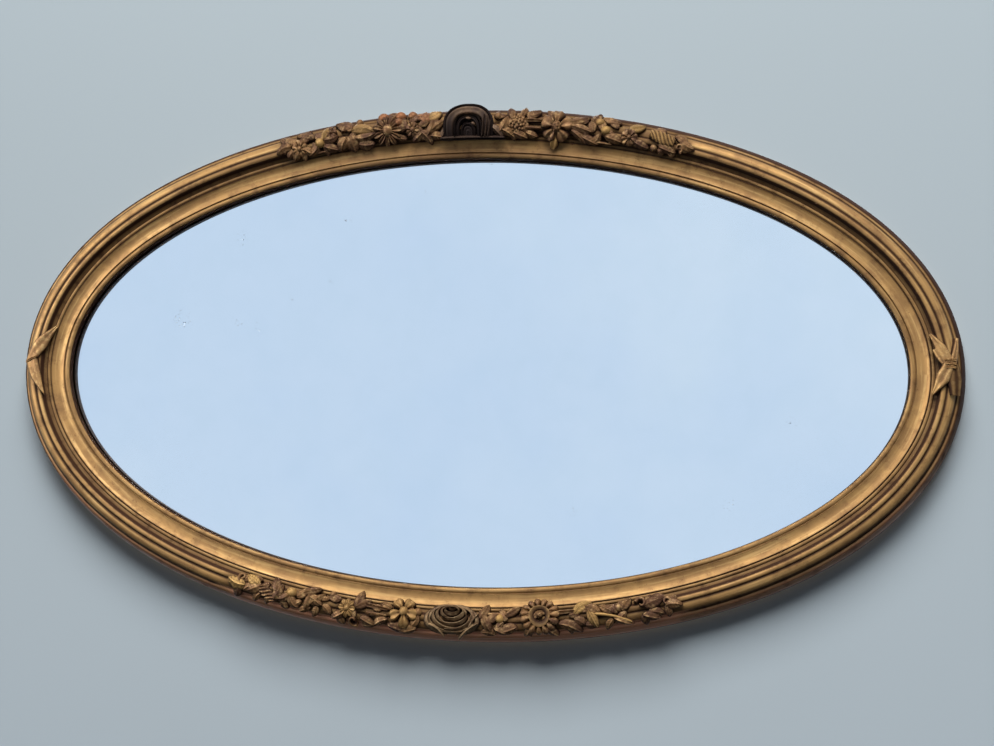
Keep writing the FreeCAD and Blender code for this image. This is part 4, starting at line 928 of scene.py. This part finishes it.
sprig("top_left_gold_leaves", "top", TOP_LEFT_REACH,
      (flower(SMALL_FLOWER_RADIUS * 0.85, 5, SMALL_FLOWER_RISE, 0.4), -0.325, 0.56, 0),
      (worn(leaf(0.75, 1.4, 0.0, 3), 0.6), -0.265, 0.78, 170),
      (worn(dome(0.0050, 0.0054, 0.9), 0.7), -0.325, 0.84, 0),
      (shiny(leaf(0.70, 1.2), 0.5), -0.215, 0.80, 30),
      (leaf(0.85, 0.8, 0.1), -0.235, 0.56, 60),
      (leaf(0.75, 0.8), -0.20, 0.60, 30),
      (leaf(0.80, 0.9, -0.1), -0.255, 0.40, 305),
      (leaf(0.70, 0.9), -0.205, 0.42, 350),
      (leaf(0.60, 0.9), -0.305, 0.42, 220))


# The spray right of the crest is glued on in five castings as well: a cluster of tiny blossoms, a
# dog rose, buds, a small flower and a slanting fern that ends in a roll.
TOP_RIGHT_REACH = 0.202
DOG_ROSE_RADIUS = 0.0155
DOG_ROSE_RISE = 0.0060
DOG_ROSE_TURN = math.radians(18)
BLOSSOM_RISE = 0.0034
BLOSSOM_RADIUS = 0.0015
BLOSSOM_LIFT = 0.0002


def blossom_cluster(radius, count):
    """A heap of tiny round blossoms."""
    return joined([dome(radius, BLOSSOM_RISE)]
                  + seeds_on(radius, 0.95, BLOSSOM_RADIUS, count, BLOSSOM_RISE, BLOSSOM_LIFT))


sprig("top_right_blossom_sprig", "top", TOP_RIGHT_REACH,
      (dome(0.0040, 0.0045), 0.095, 0.76, 0),
      (leaf(0.80, 0.9, 0.1), 0.125, 0.60, 60),
      (leaf(0.80, 0.8, -0.1), 0.145, 0.46, 330),
      (leaf(0.75, 0.8), 0.155, 0.84, 110),
      (blossom_cluster(0.0085, 26), 0.19, 0.62, 0),
      (leaf(0.70, 0.7), 0.215, 0.88, 80),
      (leaf(0.75, 0.9), 0.205, 0.42, 340),
      (leaf(0.70, 0.85, 0.1), 0.262, 0.84, 25),
      (stem(0.015, 0.0036, 0.0038, 0.0, 2), 0.262, 0.55, 0),
      (leaf(0.60, 0.7), 0.258, 0.44, 340),
      (stem(0.016, 0.0042, 0.0040, 0.0, 2), 0.265, 0.68, 0))
sprig("top_right_dog_rose", "top", TOP_RIGHT_REACH,
      (flower(DOG_ROSE_RADIUS, 5, DOG_ROSE_RISE, notch=0.1, fullness=1.15, seeds=9, turn=DOG_ROSE_TURN,
              belly=1.9), 0.373, 0.60, 0),
      (leaf(0.6, 0.9), 0.345, 0.84, 150),
      (shiny(petal(0.013, 0.0095, 0.0050, 0.0, 1), 0.6), 0.368, 0.44, 265))
sprig("top_right_bud_sprig", "top", TOP_RIGHT_REACH,
      (leaf(1.0, 0.8, 0.05), 0.475, 0.74, 20),
      (leaf(1.05, 0.8, 0.0), 0.49, 0.60, 350),
      (leaf(0.95, 0.7, -0.08), 0.485, 0.46, 325),
      (leaf(0.85, 0.8), 0.535, 0.42, 340),
      (shiny(dome(0.0046, 0.0052, 0.85), 0.5), 0.570, 0.76, 0),
      (shiny(dome(0.0050, 0.0056, 0.85), 0.7), 0.603, 0.62, 0),
      (leaf(0.70, 0.8), 0.555, 0.86, 60),
      (leaf(0.90, 0.8), 0.625, 0.82, 350),
      (leaf(0.85, 0.9), 0.645, 0.50, 350),
      (stem(0.020, 0.003, 0.0028), 0.59, 0.40, 0))
sprig("top_right_small_flower", "top", TOP_RIGHT_REACH,
      (flower(SMALL_FLOWER_RADIUS, 5, SMALL_FLOWER_RISE, 0.28, 0.1), 0.715, 0.57, 0),
      (shiny(leaf(0.75, 0.9, 0.1), 0.6), 0.745, 0.76, 20),
      (leaf(0.75, 0.8), 0.775, 0.48, 345))


def fern(length, width, rise, ribs):
    """A broad fern leaf with slanting ribs."""

    def half_width(u):
        return width / 2 * max(math.sin(math.pi * (0.08 + 0.84 * u)), 0) ** 0.5

    def height(u, v):
        rib = ripple(ribs * u + 1.2 * v)
        crown = rounded(v, 4)
        return swelled(rise, crown * (0.55 + 0.45 * rib)), 0.75 * (1 - rib) + 0.6 * (1 - crown)

    return strip(48, 10, bent_line(length), half_width, height)


sprig("top_right_fern_tip", "top", TOP_RIGHT_REACH,
      (shiny(fern(0.024, 0.012, 0.0046, 6), 0.5), 0.865, 0.66, 350),
      (leaf(0.80, 0.8), 0.90, 0.49, 352),
      (dome(0.0036, 0.0040), 0.835, 0.46, 0),
      (dome(0.0034, 0.0038), 0.870, 0.44, 0),
      (scroll(0.0042, 0.8, 0.0038, 0.0044), 0.950, 0.56, 300),
      (leaf(0.70, 0.9, 0.1), 0.985, 0.62, 345))


# The spray left of the bottom rose is of five castings too, less darkened than those above: cupped
# leaves, a bud, a small daisy, a ribbed leaf and a big gold flower.
BOTTOM_LEFT_REACH = 0.230
GOLD_FLOWER_RADIUS = 0.0140
GOLD_FLOWER_RISE = 0.0062
GOLD_FLOWER_TURN = math.radians(12)

sprig("bottom_left_tip_sprig", "bottom", BOTTOM_LEFT_REACH,
      (shiny(leaf(0.90, 1.3, 0.1, 3), 0.7), -0.965, 0.62, 185),
      (scroll(0.0042, 0.8, 0.0040, 0.0046), -0.945, 0.52, 120),
      (shiny(leaf(0.80, 1.0), 0.7), -0.90, 0.50, 200),
      (leaf(0.70, 1.1), -0.885, 0.62, 150),
      (fern(0.019, 0.0095, 0.0044, 5), -0.83, 0.64, 25),
      (leaf(0.75, 0.9), -0.80, 0.46, 250),
      (leaf(0.85, 0.9), -0.785, 0.58, 290))
sprig("bottom_left_bud_sprig", "bottom", BOTTOM_LEFT_REACH,
      (shiny(dome(0.0056, 0.0060, 0.85), 0.5), -0.73, 0.52, 0),
      (leaf(0.70, 0.8, 0.15), -0.755, 0.62, 150),
      (leaf(0.70, 0.8, -0.15), -0.715, 0.66, 40),
      (leaf(0.85, 0.8), -0.645, 0.40, 335),
      (leaf(0.80, 0.7), -0.625, 0.56, 20),
      (leaf(0.80, 0.7), -0.615, 0.52, 320),
      (leaf(0.75, 0.7), -0.655, 0.62, 100),
      (dome(0.0032, 0.0036), -0.560, 0.38, 0),
      (dome(0.0030, 0.0034), -0.540, 0.46, 0),
      (stem(0.030, 0.003, 0.0026), -0.635, 0.48, 0))
sprig("bottom_left_small_daisy", "bottom", BOTTOM_LEFT_REACH,
      (shiny(flower(SMALL_FLOWER_RADIUS, 8, SMALL_FLOWER_RISE, 0.36), 0.4), -0.49, 0.57, 0),
      (leaf(0.85, 0.9), -0.445, 0.38, 285),
      (leaf(0.80, 0.8), -0.425, 0.46, 330),
      (scroll(0.0060, 0.7, 0.0034, 0.0042), -0.455, 0.76, 60),
      (leaf(0.65, 0.8), -0.525, 0.72, 150))
sprig("bottom_left_ribbed_leaf", "bottom", BOTTOM_LEFT_REACH,
      (stem(0.022, 0.0050, 0.0042, 0.0, 2), -0.365, 0.48, 5),
      (stem(0.020, 0.0044, 0.0038, 0.0, 2), -0.365, 0.60, 0),
      (leaf(0.70, 0.8), -0.400, 0.73, 20),
      (leaf(0.65, 0.8, 0.1), -0.345, 0.70, 335),
      (leaf(0.60, 0.7), -0.330, 0.43, 200))
sprig("bottom_left_gold_flower", "bottom", BOTTOM_LEFT_REACH,
      (shiny(flower(GOLD_FLOWER_RADIUS, 5, GOLD_FLOWER_RISE, notch=0.12, fullness=1.05,
                    turn=GOLD_FLOWER_TURN), 0.35), -0.255, 0.50, 0),
      (leaf(0.95, 1.0), -0.275, 0.78, 190),
      (leaf(0.85, 1.0), -0.235, 0.80, 345),
      (dome(0.0040, 0.0044), -0.198, 0.48, 0))


# The spray right of the bottom rose is the last one of five castings: three leaves and a berry, a
# great daisy with a smooth throat, bow-like leaves, a long stem and a rolled end.
BOTTOM_RIGHT_REACH = 0.196
GREAT_DAISY_RADIUS = 0.0185
GREAT_DAISY_RISE = 0.0062
GREAT_DAISY_SQUASH = 0.86

sprig("bottom_right_leaf_sprig", "bottom", BOTTOM_RIGHT_REACH,
      (leaf(0.75, 0.9), 0.09, 0.42, 300),
      (leaf(0.80, 0.9), 0.10, 0.62, 60),
      (shiny(dome(0.0042, 0.0048), 0.7), 0.163, 0.54, 0),
      (leaf(0.80, 0.8), 0.225, 0.42, 330),
      (leaf(0.75, 0.9), 0.205, 0.72, 345),
      (leaf(0.65, 0.7), 0.165, 0.74, 200),
      (stem(0.020, 0.003, 0.0026), 0.15, 0.46, 0))


def funnel(radius, width, rise):
    """A flower's smooth throat: a ring that falls towards its dark middle."""

    def centre(u):
        return radius * math.cos(2 * math.pi * u), radius * math.sin(2 * math.pi * u)

    def height(u, v):
        return swelled(rise, rounded(v, 6) * (0.7 - 0.3 * v)), 0.3 + 0.6 * (v + 1) / 2

    return strip(40, 8, centre, lambda u: width / 2, height)


sprig("bottom_right_great_daisy", "bottom", BOTTOM_RIGHT_REACH,
      (drawn_in(flower(GREAT_DAISY_RADIUS, 15, GREAT_DAISY_RISE, 0.15, furrows=0, seeds=7, belly=2.3,
                       root_share=0.40), GREAT_DAISY_SQUASH), 0.352, 0.51, 0),
      (shiny(drawn_in(funnel(0.0076, 0.0056, 0.0066), GREAT_DAISY_SQUASH), 0.3), 0.352, 0.51, 0),
      (leaf(0.75, 0.8), 0.300, 0.74, 130),
      (leaf(0.75, 0.8), 0.405, 0.78, 40),
      (leaf(0.70, 0.8), 0.410, 0.44, 320),
      (leaf(0.70, 0.8), 0.290, 0.46, 230))
sprig("bottom_right_bow_leaves", "bottom", BOTTOM_RIGHT_REACH,
      (leaf(1.10, 1.0, 0.1), 0.495, 0.73, 25),
      (stem(0.017, 0.0048, 0.0042, 0.0, 2), 0.475, 0.48, 0),
      (shiny(leaf(0.95, 1.0, 0.15), 0.7), 0.555, 0.42, 335),
      (leaf(0.90, 0.9, -0.1), 0.595, 0.46, 205),
      (shiny(leaf(0.85, 0.9), 0.5), 0.60, 0.64, 65))
sprig("bottom_right_stem_sprig", "bottom", BOTTOM_RIGHT_REACH,
      (shiny(stem(0.034, 0.0034, 0.0034, 0.05), 0.6), 0.695, 0.64, 18),
      (leaf(0.90, 0.6), 0.74, 0.74, 25),
      (leaf(0.75, 0.8), 0.665, 0.50, 210),
      (dome(0.0042, 0.0048), 0.723, 0.50, 0),
      (leaf(0.70, 0.9), 0.76, 0.46, 320))
sprig("bottom_right_tip_sprig", "bottom", BOTTOM_RIGHT_REACH,
      (scroll(0.0052, 0.85, 0.0044, 0.0050), 0.832, 0.50, 200),
      (leaf(0.90, 1.0), 0.89, 0.52, 350),
      (leaf(0.80, 0.8), 0.87, 0.74, 20),
      (scroll(0.0042, 0.8, 0.0040, 0.0046, True), 0.950, 0.56, 30),
      (leaf(0.75, 0.9, 0.1), 0.98, 0.62, 10))


# The rose at the crest is blackened: petals arched over a hollow heart on straight legs, with
# folds hanging at its right, all on a straight ledge.
CREST_LEAN = math.radians(12)
CREST_SHIFT = -0.009
CREST_FOOT_SHARE = 0.385
CREST_LEG_SHARE = 0.16
CREST_ROUNDNESS = 0.86
LEDGE_LENGTH = 0.0620
LEDGE_SHIFT = 0.004
# Each fold from the outside in: how far out and how high its mid line runs, its width and height,
# the height of its straight legs, how many furrows it has, how far it tilts and how dirty it is.
CREST_FOLDS = (
    (0.0228, 0.0291, 0.0028, 0.0056, 0.0085, 1, 0.0, 0.7),
    (0.0177, 0.0239, 0.0084, 0.0072, 0.0080, 0.5, 0.3, 0.0),
    (0.0127, 0.0190, 0.0018, 0.0078, 0.0070, 1, 0.0, 0.2),
    (0.0100, 0.0158, 0.0034, 0.0068, 0.0060, 1, 0.2, 0.5),
    (0.0062, 0.0112, 0.0024, 0.0056, 0.0045, 1, 0.0, 0.7),
    (0.0024, 0.0070, 0.0068, 0.0044, 0.0040, 1, 0.0, 0.7),
)


def crest_fold(half_width, top, band_width, rise, leg, furrows, tilt, dirt_and_shade):
    """A petal arched over the heart on two straight legs."""

    def centre(u):
        if u < CREST_LEG_SHARE:
            return -half_width, leg * u / CREST_LEG_SHARE
        if u > 1 - CREST_LEG_SHARE:
            return half_width, leg * (1 - u) / CREST_LEG_SHARE
        swing = math.pi * (1 - (u - CREST_LEG_SHARE) / (1 - 2 * CREST_LEG_SHARE))
        out = math.copysign(abs(math.cos(swing)) ** CREST_ROUNDNESS, math.cos(swing))
        return half_width * out, leg + (top - leg) * math.sin(swing) ** CREST_ROUNDNESS

    def height(u, v):
        crown = rounded(v, 3)
        furrow = ripple(furrows * v)
        low_down = min(abs(2 * u - 1) * 1.5, 1)
        return (swelled(rise, crown * (1 - 0.22 * furrow) * (1 + tilt * (v - 1) / 2)),
                0.6 * (1 - crown) + 0.3 * furrow + 0.6 * low_down + dirt_and_shade)

    return strip(56, 14, centre, lambda u: band_width / 2, height)


dark_casting = gilding("dark_casting", (0.135, 0.080, 0.047, 1), (0.230, 0.150, 0.090, 1),
                       (0.075, 0.042, 0.030, 1), (0.018, 0.0105, 0.0090, 1), 0.12)


def crest_rose():
    """The folds, two blobs in the heart, three hanging folds, two leaves and the ledge."""
    foot = crown_arc(CREST_FOOT_SHARE)
    folds = [crest_fold(*fold) for fold in CREST_FOLDS] + [
        moved(dome(0.0022, 0.0024, 0.6, 12), 0.0052, 0.0108, -0.5, 0.0042),
        moved(dome(0.0026, 0.0018, 0.5, 12), 0.0005, 0.0148, -0.1, 0.0050),
        moved(darkened(stem(0.017, 0.0026, 0.0088), 0.62), 0.0147, 0.0100, 1.45),
        moved(darkened(stem(0.015, 0.0026, 0.0084), 0.55), 0.0178, 0.0085, 1.40),
        moved(darkened(stem(0.013, 0.0026, 0.0078), 0.62), 0.0205, 0.0070, 1.35),
        moved(leaf(0.85, 0.75, 0.1), 0.0270, 0.0052, 2.45),
        moved(leaf(0.60, 0.70, 0.1), -0.0245, 0.0040, 1.10),
    ]
    # The ledge is darkened all over: painted shade on its upward face.
    for across, width, rise in ((0.0, 0.0034, 0.0072), (-0.0024, 0.0022, 0.0050)):
        folds.append(moved(darkened(stem(LEDGE_LENGTH, width, rise), 0.7), LEDGE_SHIFT, across))
    laid = [lay(moved(fold, CREST_SHIFT), "top", 0, foot, 0, CREST_LEAN) for fold in folds]
    cast("crest_rose", laid, dark_casting)


crest_rose()


# The rose in the middle of the bottom spray is a full one, its petals folded round an off-centre
# heart and sweeping down to both sides.
BOTTOM_ROSE_SHIFT = -0.013
BOTTOM_ROSE_HALF_WIDTH = 0.0255
BOTTOM_ROSE_HALF_HEIGHT = 0.0145
BOTTOM_ROSE_HEART = -0.0118
BOTTOM_ROSE_ACROSS = 0.58
# Each petal from the outside in: its reach as a share of the rose's, where it starts and ends round
# the heart in degrees, its width and its height.
ROSE_PETALS = (
    (0.95, 100, 215, 0.0046, 0.0034),
    (0.95, -35, 80, 0.0046, 0.0034),
    (0.86, 15, 125, 0.0046, 0.0042),
    (0.84, 60, 178, 0.0046, 0.0044),
    (0.82, 165, 262, 0.0040, 0.0040),
    (0.82, 275, 372, 0.0040, 0.0040),
    (0.73, -12, 110, 0.0042, 0.0050),
    (0.70, 72, 205, 0.0042, 0.0052),
    (0.58, 5, 140, 0.0040, 0.0056),
    (0.56, 110, 235, 0.0036, 0.0056),
    (0.52, 230, 372, 0.0032, 0.0054),
    (0.43, -25, 120, 0.0036, 0.0062),
    (0.40, 90, 300, 0.0034, 0.0062),
    (0.28, 10, 200, 0.0032, 0.0066),
    (0.25, 180, 380, 0.0030, 0.0062),
    (0.12, 0, 359, 0.0020, 0.0054),
)


def swept_petal(reach_share, first, last, width, rise):
    """A rose petal swept round the heart, thick at its rolled lip."""

    def centre(u):
        swing = math.radians(first + (last - first) * u)
        heart = BOTTOM_ROSE_HEART * (1 - reach_share)
        return (BOTTOM_ROSE_HALF_WIDTH * reach_share * math.cos(swing),
                BOTTOM_ROSE_HALF_HEIGHT * reach_share * math.sin(swing) + heart)

    def half_width(u):
        return width / 2 * max(math.sin(math.pi * (0.03 + 0.94 * u)), 0) ** 0.6

    def height(u, v):
        crown = rounded(v, 8)
        inwards = (v + 1) / 2
        return (swelled(rise, crown * (0.30 + 0.70 * inwards ** 1.3)),
                0.9 * (1 - crown) + 0.75 * (1 - inwards) ** 1.6)

    return strip(36, 12, centre, half_width, height)


rose_casting = gilding("bottom_rose_gilding", (0.25, 0.158, 0.080, 1), (0.44, 0.31, 0.165, 1),
                       (0.125, 0.073, 0.040, 1), (0.022, 0.011, 0.007, 1), 0.22)


def bottom_rose():
    """The petals over three stems, two that show at the lower right and one at the lower left."""
    across = crown_arc(BOTTOM_ROSE_ACROSS)
    petals = [swept_petal(*one) for one in ROSE_PETALS] + [
        moved(stem(0.0230, 0.0034, 0.0052, 0.10), 0.0150, 0.0078, -0.66),
        moved(stem(0.0170, 0.0030, 0.0046, 0.10), 0.0195, 0.0010, -0.95),
        moved(stem(0.0180, 0.0032, 0.0048, 0.14), -0.0130, 0.0078, 0.62),
    ]
    laid = [lay(one, "bottom", BOTTOM_ROSE_SHIFT, across, 0) for one in petals]
    cast("bottom_rose", laid, rose_casting)


bottom_rose()


# The ribbon ties are cast thin of the same composition, with pleats along their bands. One crosses
# itself over the reeds at each side, where it hides a joint of the ring.
TIE_WIDTH = 0.0090
TIE_RISE = 0.0034


def ribbon(side, start, end, width_shares, rise_share, dirt_and_shade):
    """A ribbon between two places (distance along the rim, share across), its width given thrice."""
    first = Vector((start[0], crown_arc(start[1])))
    last = Vector((end[0], crown_arc(end[1])))
    run = last - first
    middle = (first + last) / 2
    begin, midway, close = width_shares

    def half_width(u):
        share = begin + (midway - begin) * 2 * u if u < 0.5 else midway + (close - midway) * (2 * u - 1)
        return TIE_WIDTH / 2 * share

    def height(u, v):
        pleat = ripple(v + 0.5)
        edge = rounded(v, 6)
        return (swelled(TIE_RISE * rise_share, edge * (0.82 + 0.18 * pleat)),
                0.3 * (1 - pleat) + 0.7 * (1 - edge) + dirt_and_shade)

    return lay(strip(30, 18, bent_line(run.length), half_width, height), side, middle.x, middle.y,
               math.degrees(math.atan2(run.y, run.x)))


gilt_ribbon = gilding("gilt_ribbon", (0.47, 0.275, 0.105, 1), (0.70, 0.465, 0.200, 1),
                      (0.300, 0.165, 0.070, 1), DIRT_AND_SHADE_BROWN, 0.3)

# The left ribbon folds back on itself at the outer edge, and its ends lie on the inner reed.
LEFT_TIE = (
    ((0.0430, 0.36), (0.0020, 0.73), (0.30, 1.45, 1.05), 0.95, 0.0),
    ((0.0055, 0.68), (-0.0290, 0.48), (1.45, 1.05, 0.12), 1.12, 0.0),
    ((0.0036, 0.74), (0.0095, 0.56), (0.30, 0.30, 0.20), 1.45, 0.1),
)
# The right one is a bundle pinched by a knot, with a fold below it on the outer side painted dark as
# shadow.
RIGHT_TIE = (
    ((0.0390, 0.43), (0.0090, 0.65), (0.30, 1.05, 1.00), 1.00, 0.0),
    ((0.0300, 0.83), (0.0090, 0.70), (0.25, 0.60, 0.70), 1.10, 0.0),
    ((0.0240, 0.44), (0.0100, 0.56), (0.55, 0.75, 0.50), 0.92, 0.1),
    ((0.0110, 0.66), (-0.0200, 0.40), (0.95, 1.45, 0.25), 1.12, 0.1),
    ((0.0080, 0.73), (-0.0180, 0.78), (0.90, 1.60, 1.10), 0.75, 0.5),
    ((0.0130, 0.58), (0.0118, 0.74), (0.30, 0.32, 0.30), 1.45, 0.0),
    ((0.0096, 0.58), (0.0086, 0.74), (0.30, 0.32, 0.30), 1.38, 0.0),
    ((0.0062, 0.60), (0.0054, 0.73), (0.28, 0.30, 0.28), 1.30, 0.0),
)
for tie_side, tie in (("left", LEFT_TIE), ("right", RIGHT_TIE)):
    cast(tie_side + "_ribbon_tie", [ribbon(tie_side, *one) for one in tie], gilt_ribbon)


# The stage: a pale wall close behind the mirror and a pale floor below it. Only the camera sees
# them, and the wall is clear from behind, so that the mirror's back can be looked at.
WALL_GAP = 0.0015
WALL_HALF = 3.0
FLOOR_DROP = 1.3


def stage_surface(name, material, points):
    """One flat surface of the stage, seen by the camera alone."""
    piece = primitive(name, bpy.ops.mesh.primitive_plane_add, size=2)
    for vertex, point in zip(piece.data.vertices, points):
        vertex.co = point
    piece.data.materials.append(material)
    piece.visible_diffuse = False
    piece.visible_glossy = False
    piece.visible_transmission = False
    piece.visible_shadow = False


def pale_surface(name, top_colour, low_colour):
    """A matt pale paint, blended from its low colour at the bottom to its top colour, that is clear from
    behind.
    """
    material, tree, shader, even = start_material(name)
    rise = between(tree, finish_node(tree, "SeparateXYZ", "Z", {"Vector": even}), -0.5, 0.45)
    colour = blended(tree, rise, low_colour, top_colour)
    mottle = between(tree, clouds(tree, even, 3, 3), 0.3, 0.8, 0.0, 0.12)
    painted(tree, shader, blended(tree, mottle, colour, top_colour), 0.9)
    shader.inputs["Specular IOR Level"].default_value = MATT_GLOSS
    behind = finish_node(tree, "NewGeometry", "Backfacing", {})
    clear = finish_node(tree, "BsdfTransparent", "BSDF", {})
    choice = finish_node(tree, "MixShader", "Shader", {0: behind, 1: shader.outputs["BSDF"], 2: clear})
    tree.links.new(choice, tree.nodes["Material Output"].inputs["Surface"])
    return material


# The wall's paint is lighter low down than at the top, as painted light that evens out the high lamp's
# fall-off.
wall_y = cad_box[1].y + WALL_GAP
stage_surface("wall", pale_surface("wall_paint", (0.435, 0.510, 0.560, 1), (0.54, 0.63, 0.70, 1)),
              ((-WALL_HALF, wall_y, -FLOOR_DROP), (WALL_HALF, wall_y, -FLOOR_DROP),
               (-WALL_HALF, wall_y, WALL_HALF), (WALL_HALF, wall_y, WALL_HALF)))
stage_surface("floor", pale_surface("floor_paint", (0.62, 0.66, 0.68, 1), (0.62, 0.66, 0.68, 1)),
              ((-WALL_HALF, -WALL_HALF, -FLOOR_DROP), (WALL_HALF, -WALL_HALF, -FLOOR_DROP),
               (-WALL_HALF, WALL_HALF, -FLOOR_DROP), (WALL_HALF, WALL_HALF, -FLOOR_DROP)))


# Light: one soft lamp high in front, one at the left that only glints on the leaf, a weak one
# behind for the back, and an open pale sky, which is what the plate reflects.
WARM_WHITE = (1.0, 0.98, 0.95)
GOLDEN_WHITE = (1.0, 0.97, 0.92)


def soft_lamp(name, place, width, depth, power, colour):
    """An oblong lamp that faces the middle of the mirror."""
    lamp = bpy.data.lights.new(name, "AREA")
    lamp.shape = "RECTANGLE"
    lamp.size = width
    lamp.size_y = depth
    lamp.energy = power
    lamp.color = colour
    holder = bpy.data.objects.new(name, lamp)
    bpy.context.scene.collection.objects.link(holder)
    holder.location = place
    holder.rotation_euler = (-Vector(place)).to_track_quat("-Z", "Y").to_euler()
    return holder


soft_lamp("high_lamp", (0.1, -2.15, 2.65), 2.2, 1.9, 165, WARM_WHITE)
left_lamp = soft_lamp("left_lamp", (-2.3, -1.9, 0.7), 1.4, 1.4, 110, GOLDEN_WHITE)
left_lamp.visible_diffuse = False
soft_lamp("back_lamp", (-0.8, 2.6, 1.2), 1.5, 1.5, 55, WARM_WHITE)


SKY_BLUE = (0.60, 0.73, 0.91, 1)
SKY_PALE = (0.66, 0.78, 0.93, 1)
DARK_GROUND = (0.16, 0.17, 0.18, 1)
FILL_BELOW = (0.012, 0.0125, 0.0135, 1)
FILL_ABOVE = (0.15, 0.160, 0.175, 1)
PALE_BACKDROP = (0.50, 0.57, 0.62, 1)


def open_sky():
    """A pale sky, dimmer where it only lights a surface, and a plain backdrop for the camera."""
    world = bpy.data.worlds.new("open_sky")
    bpy.context.scene.world = world
    world.use_nodes = True
    tree = world.node_tree
    tree.nodes.clear()
    output = tree.nodes.new("ShaderNodeOutputWorld")
    direction = finish_node(tree, "TexCoord", "Generated", {})
    rise = finish_node(tree, "SeparateXYZ", "Z", {"Vector": direction})
    drift = between(tree, clouds(tree, direction, 2.6, 3), 0.38, 0.62)
    blue = blended(tree, drift, SKY_BLUE, SKY_PALE)
    in_the_plate = blended(tree, between(tree, rise, -0.65, -0.30), DARK_GROUND, blue)
    fill = blended(tree, between(tree, rise, -0.5, 0.9), FILL_BELOW, FILL_ABOVE)
    colour = blended(tree, finish_node(tree, "LightPath", "Is Diffuse Ray", {}), in_the_plate, fill)
    colour = blended(tree, finish_node(tree, "LightPath", "Is Camera Ray", {}), colour, PALE_BACKDROP)
    background = finish_node(tree, "Background", "Background", {"Color": colour})
    tree.links.new(background, output.inputs["Surface"])


open_sky()


# The camera stands a little to the right of the mirror and below it, close and slightly tilted.
CAMERA_TARGET = Vector((0.01871, 0.0, 0.00013))
CAMERA_DISTANCE = 1.5
CAMERA_AZIMUTH = math.radians(8.47)
CAMERA_ELEVATION = math.radians(-5.2)
CAMERA_ROLL = math.radians(1.33)
FOCAL_PIXELS = 1575.1
PICTURE_WIDTH = 994
SENSOR_WIDTH = 36.0


def add_camera():
    """Puts the camera at its distance from the target, at its angles, and rolls it."""
    away = Vector((math.sin(CAMERA_AZIMUTH) * math.cos(CAMERA_ELEVATION),
                   -math.cos(CAMERA_AZIMUTH) * math.cos(CAMERA_ELEVATION), math.sin(CAMERA_ELEVATION)))
    right = Vector((math.cos(CAMERA_AZIMUTH), math.sin(CAMERA_AZIMUTH), 0.0))
    up = away.cross(right)
    tilted_right = right * math.cos(CAMERA_ROLL) + up * math.sin(CAMERA_ROLL)
    tilted_up = up * math.cos(CAMERA_ROLL) - right * math.sin(CAMERA_ROLL)
    data = bpy.data.cameras.new("camera")
    data.sensor_fit = "HORIZONTAL"
    data.sensor_width = SENSOR_WIDTH
    data.lens = FOCAL_PIXELS / PICTURE_WIDTH * SENSOR_WIDTH
    camera = bpy.data.objects.new("camera", data)
    bpy.context.scene.collection.objects.link(camera)
    turn = Matrix((tilted_right, tilted_up, away)).transposed()
    camera.matrix_world = Matrix.Translation(CAMERA_TARGET + away * CAMERA_DISTANCE) @ turn.to_4x4()
    bpy.context.scene.camera = camera


add_camera()
bpy.context.scene.view_settings.view_transform = "Standard"
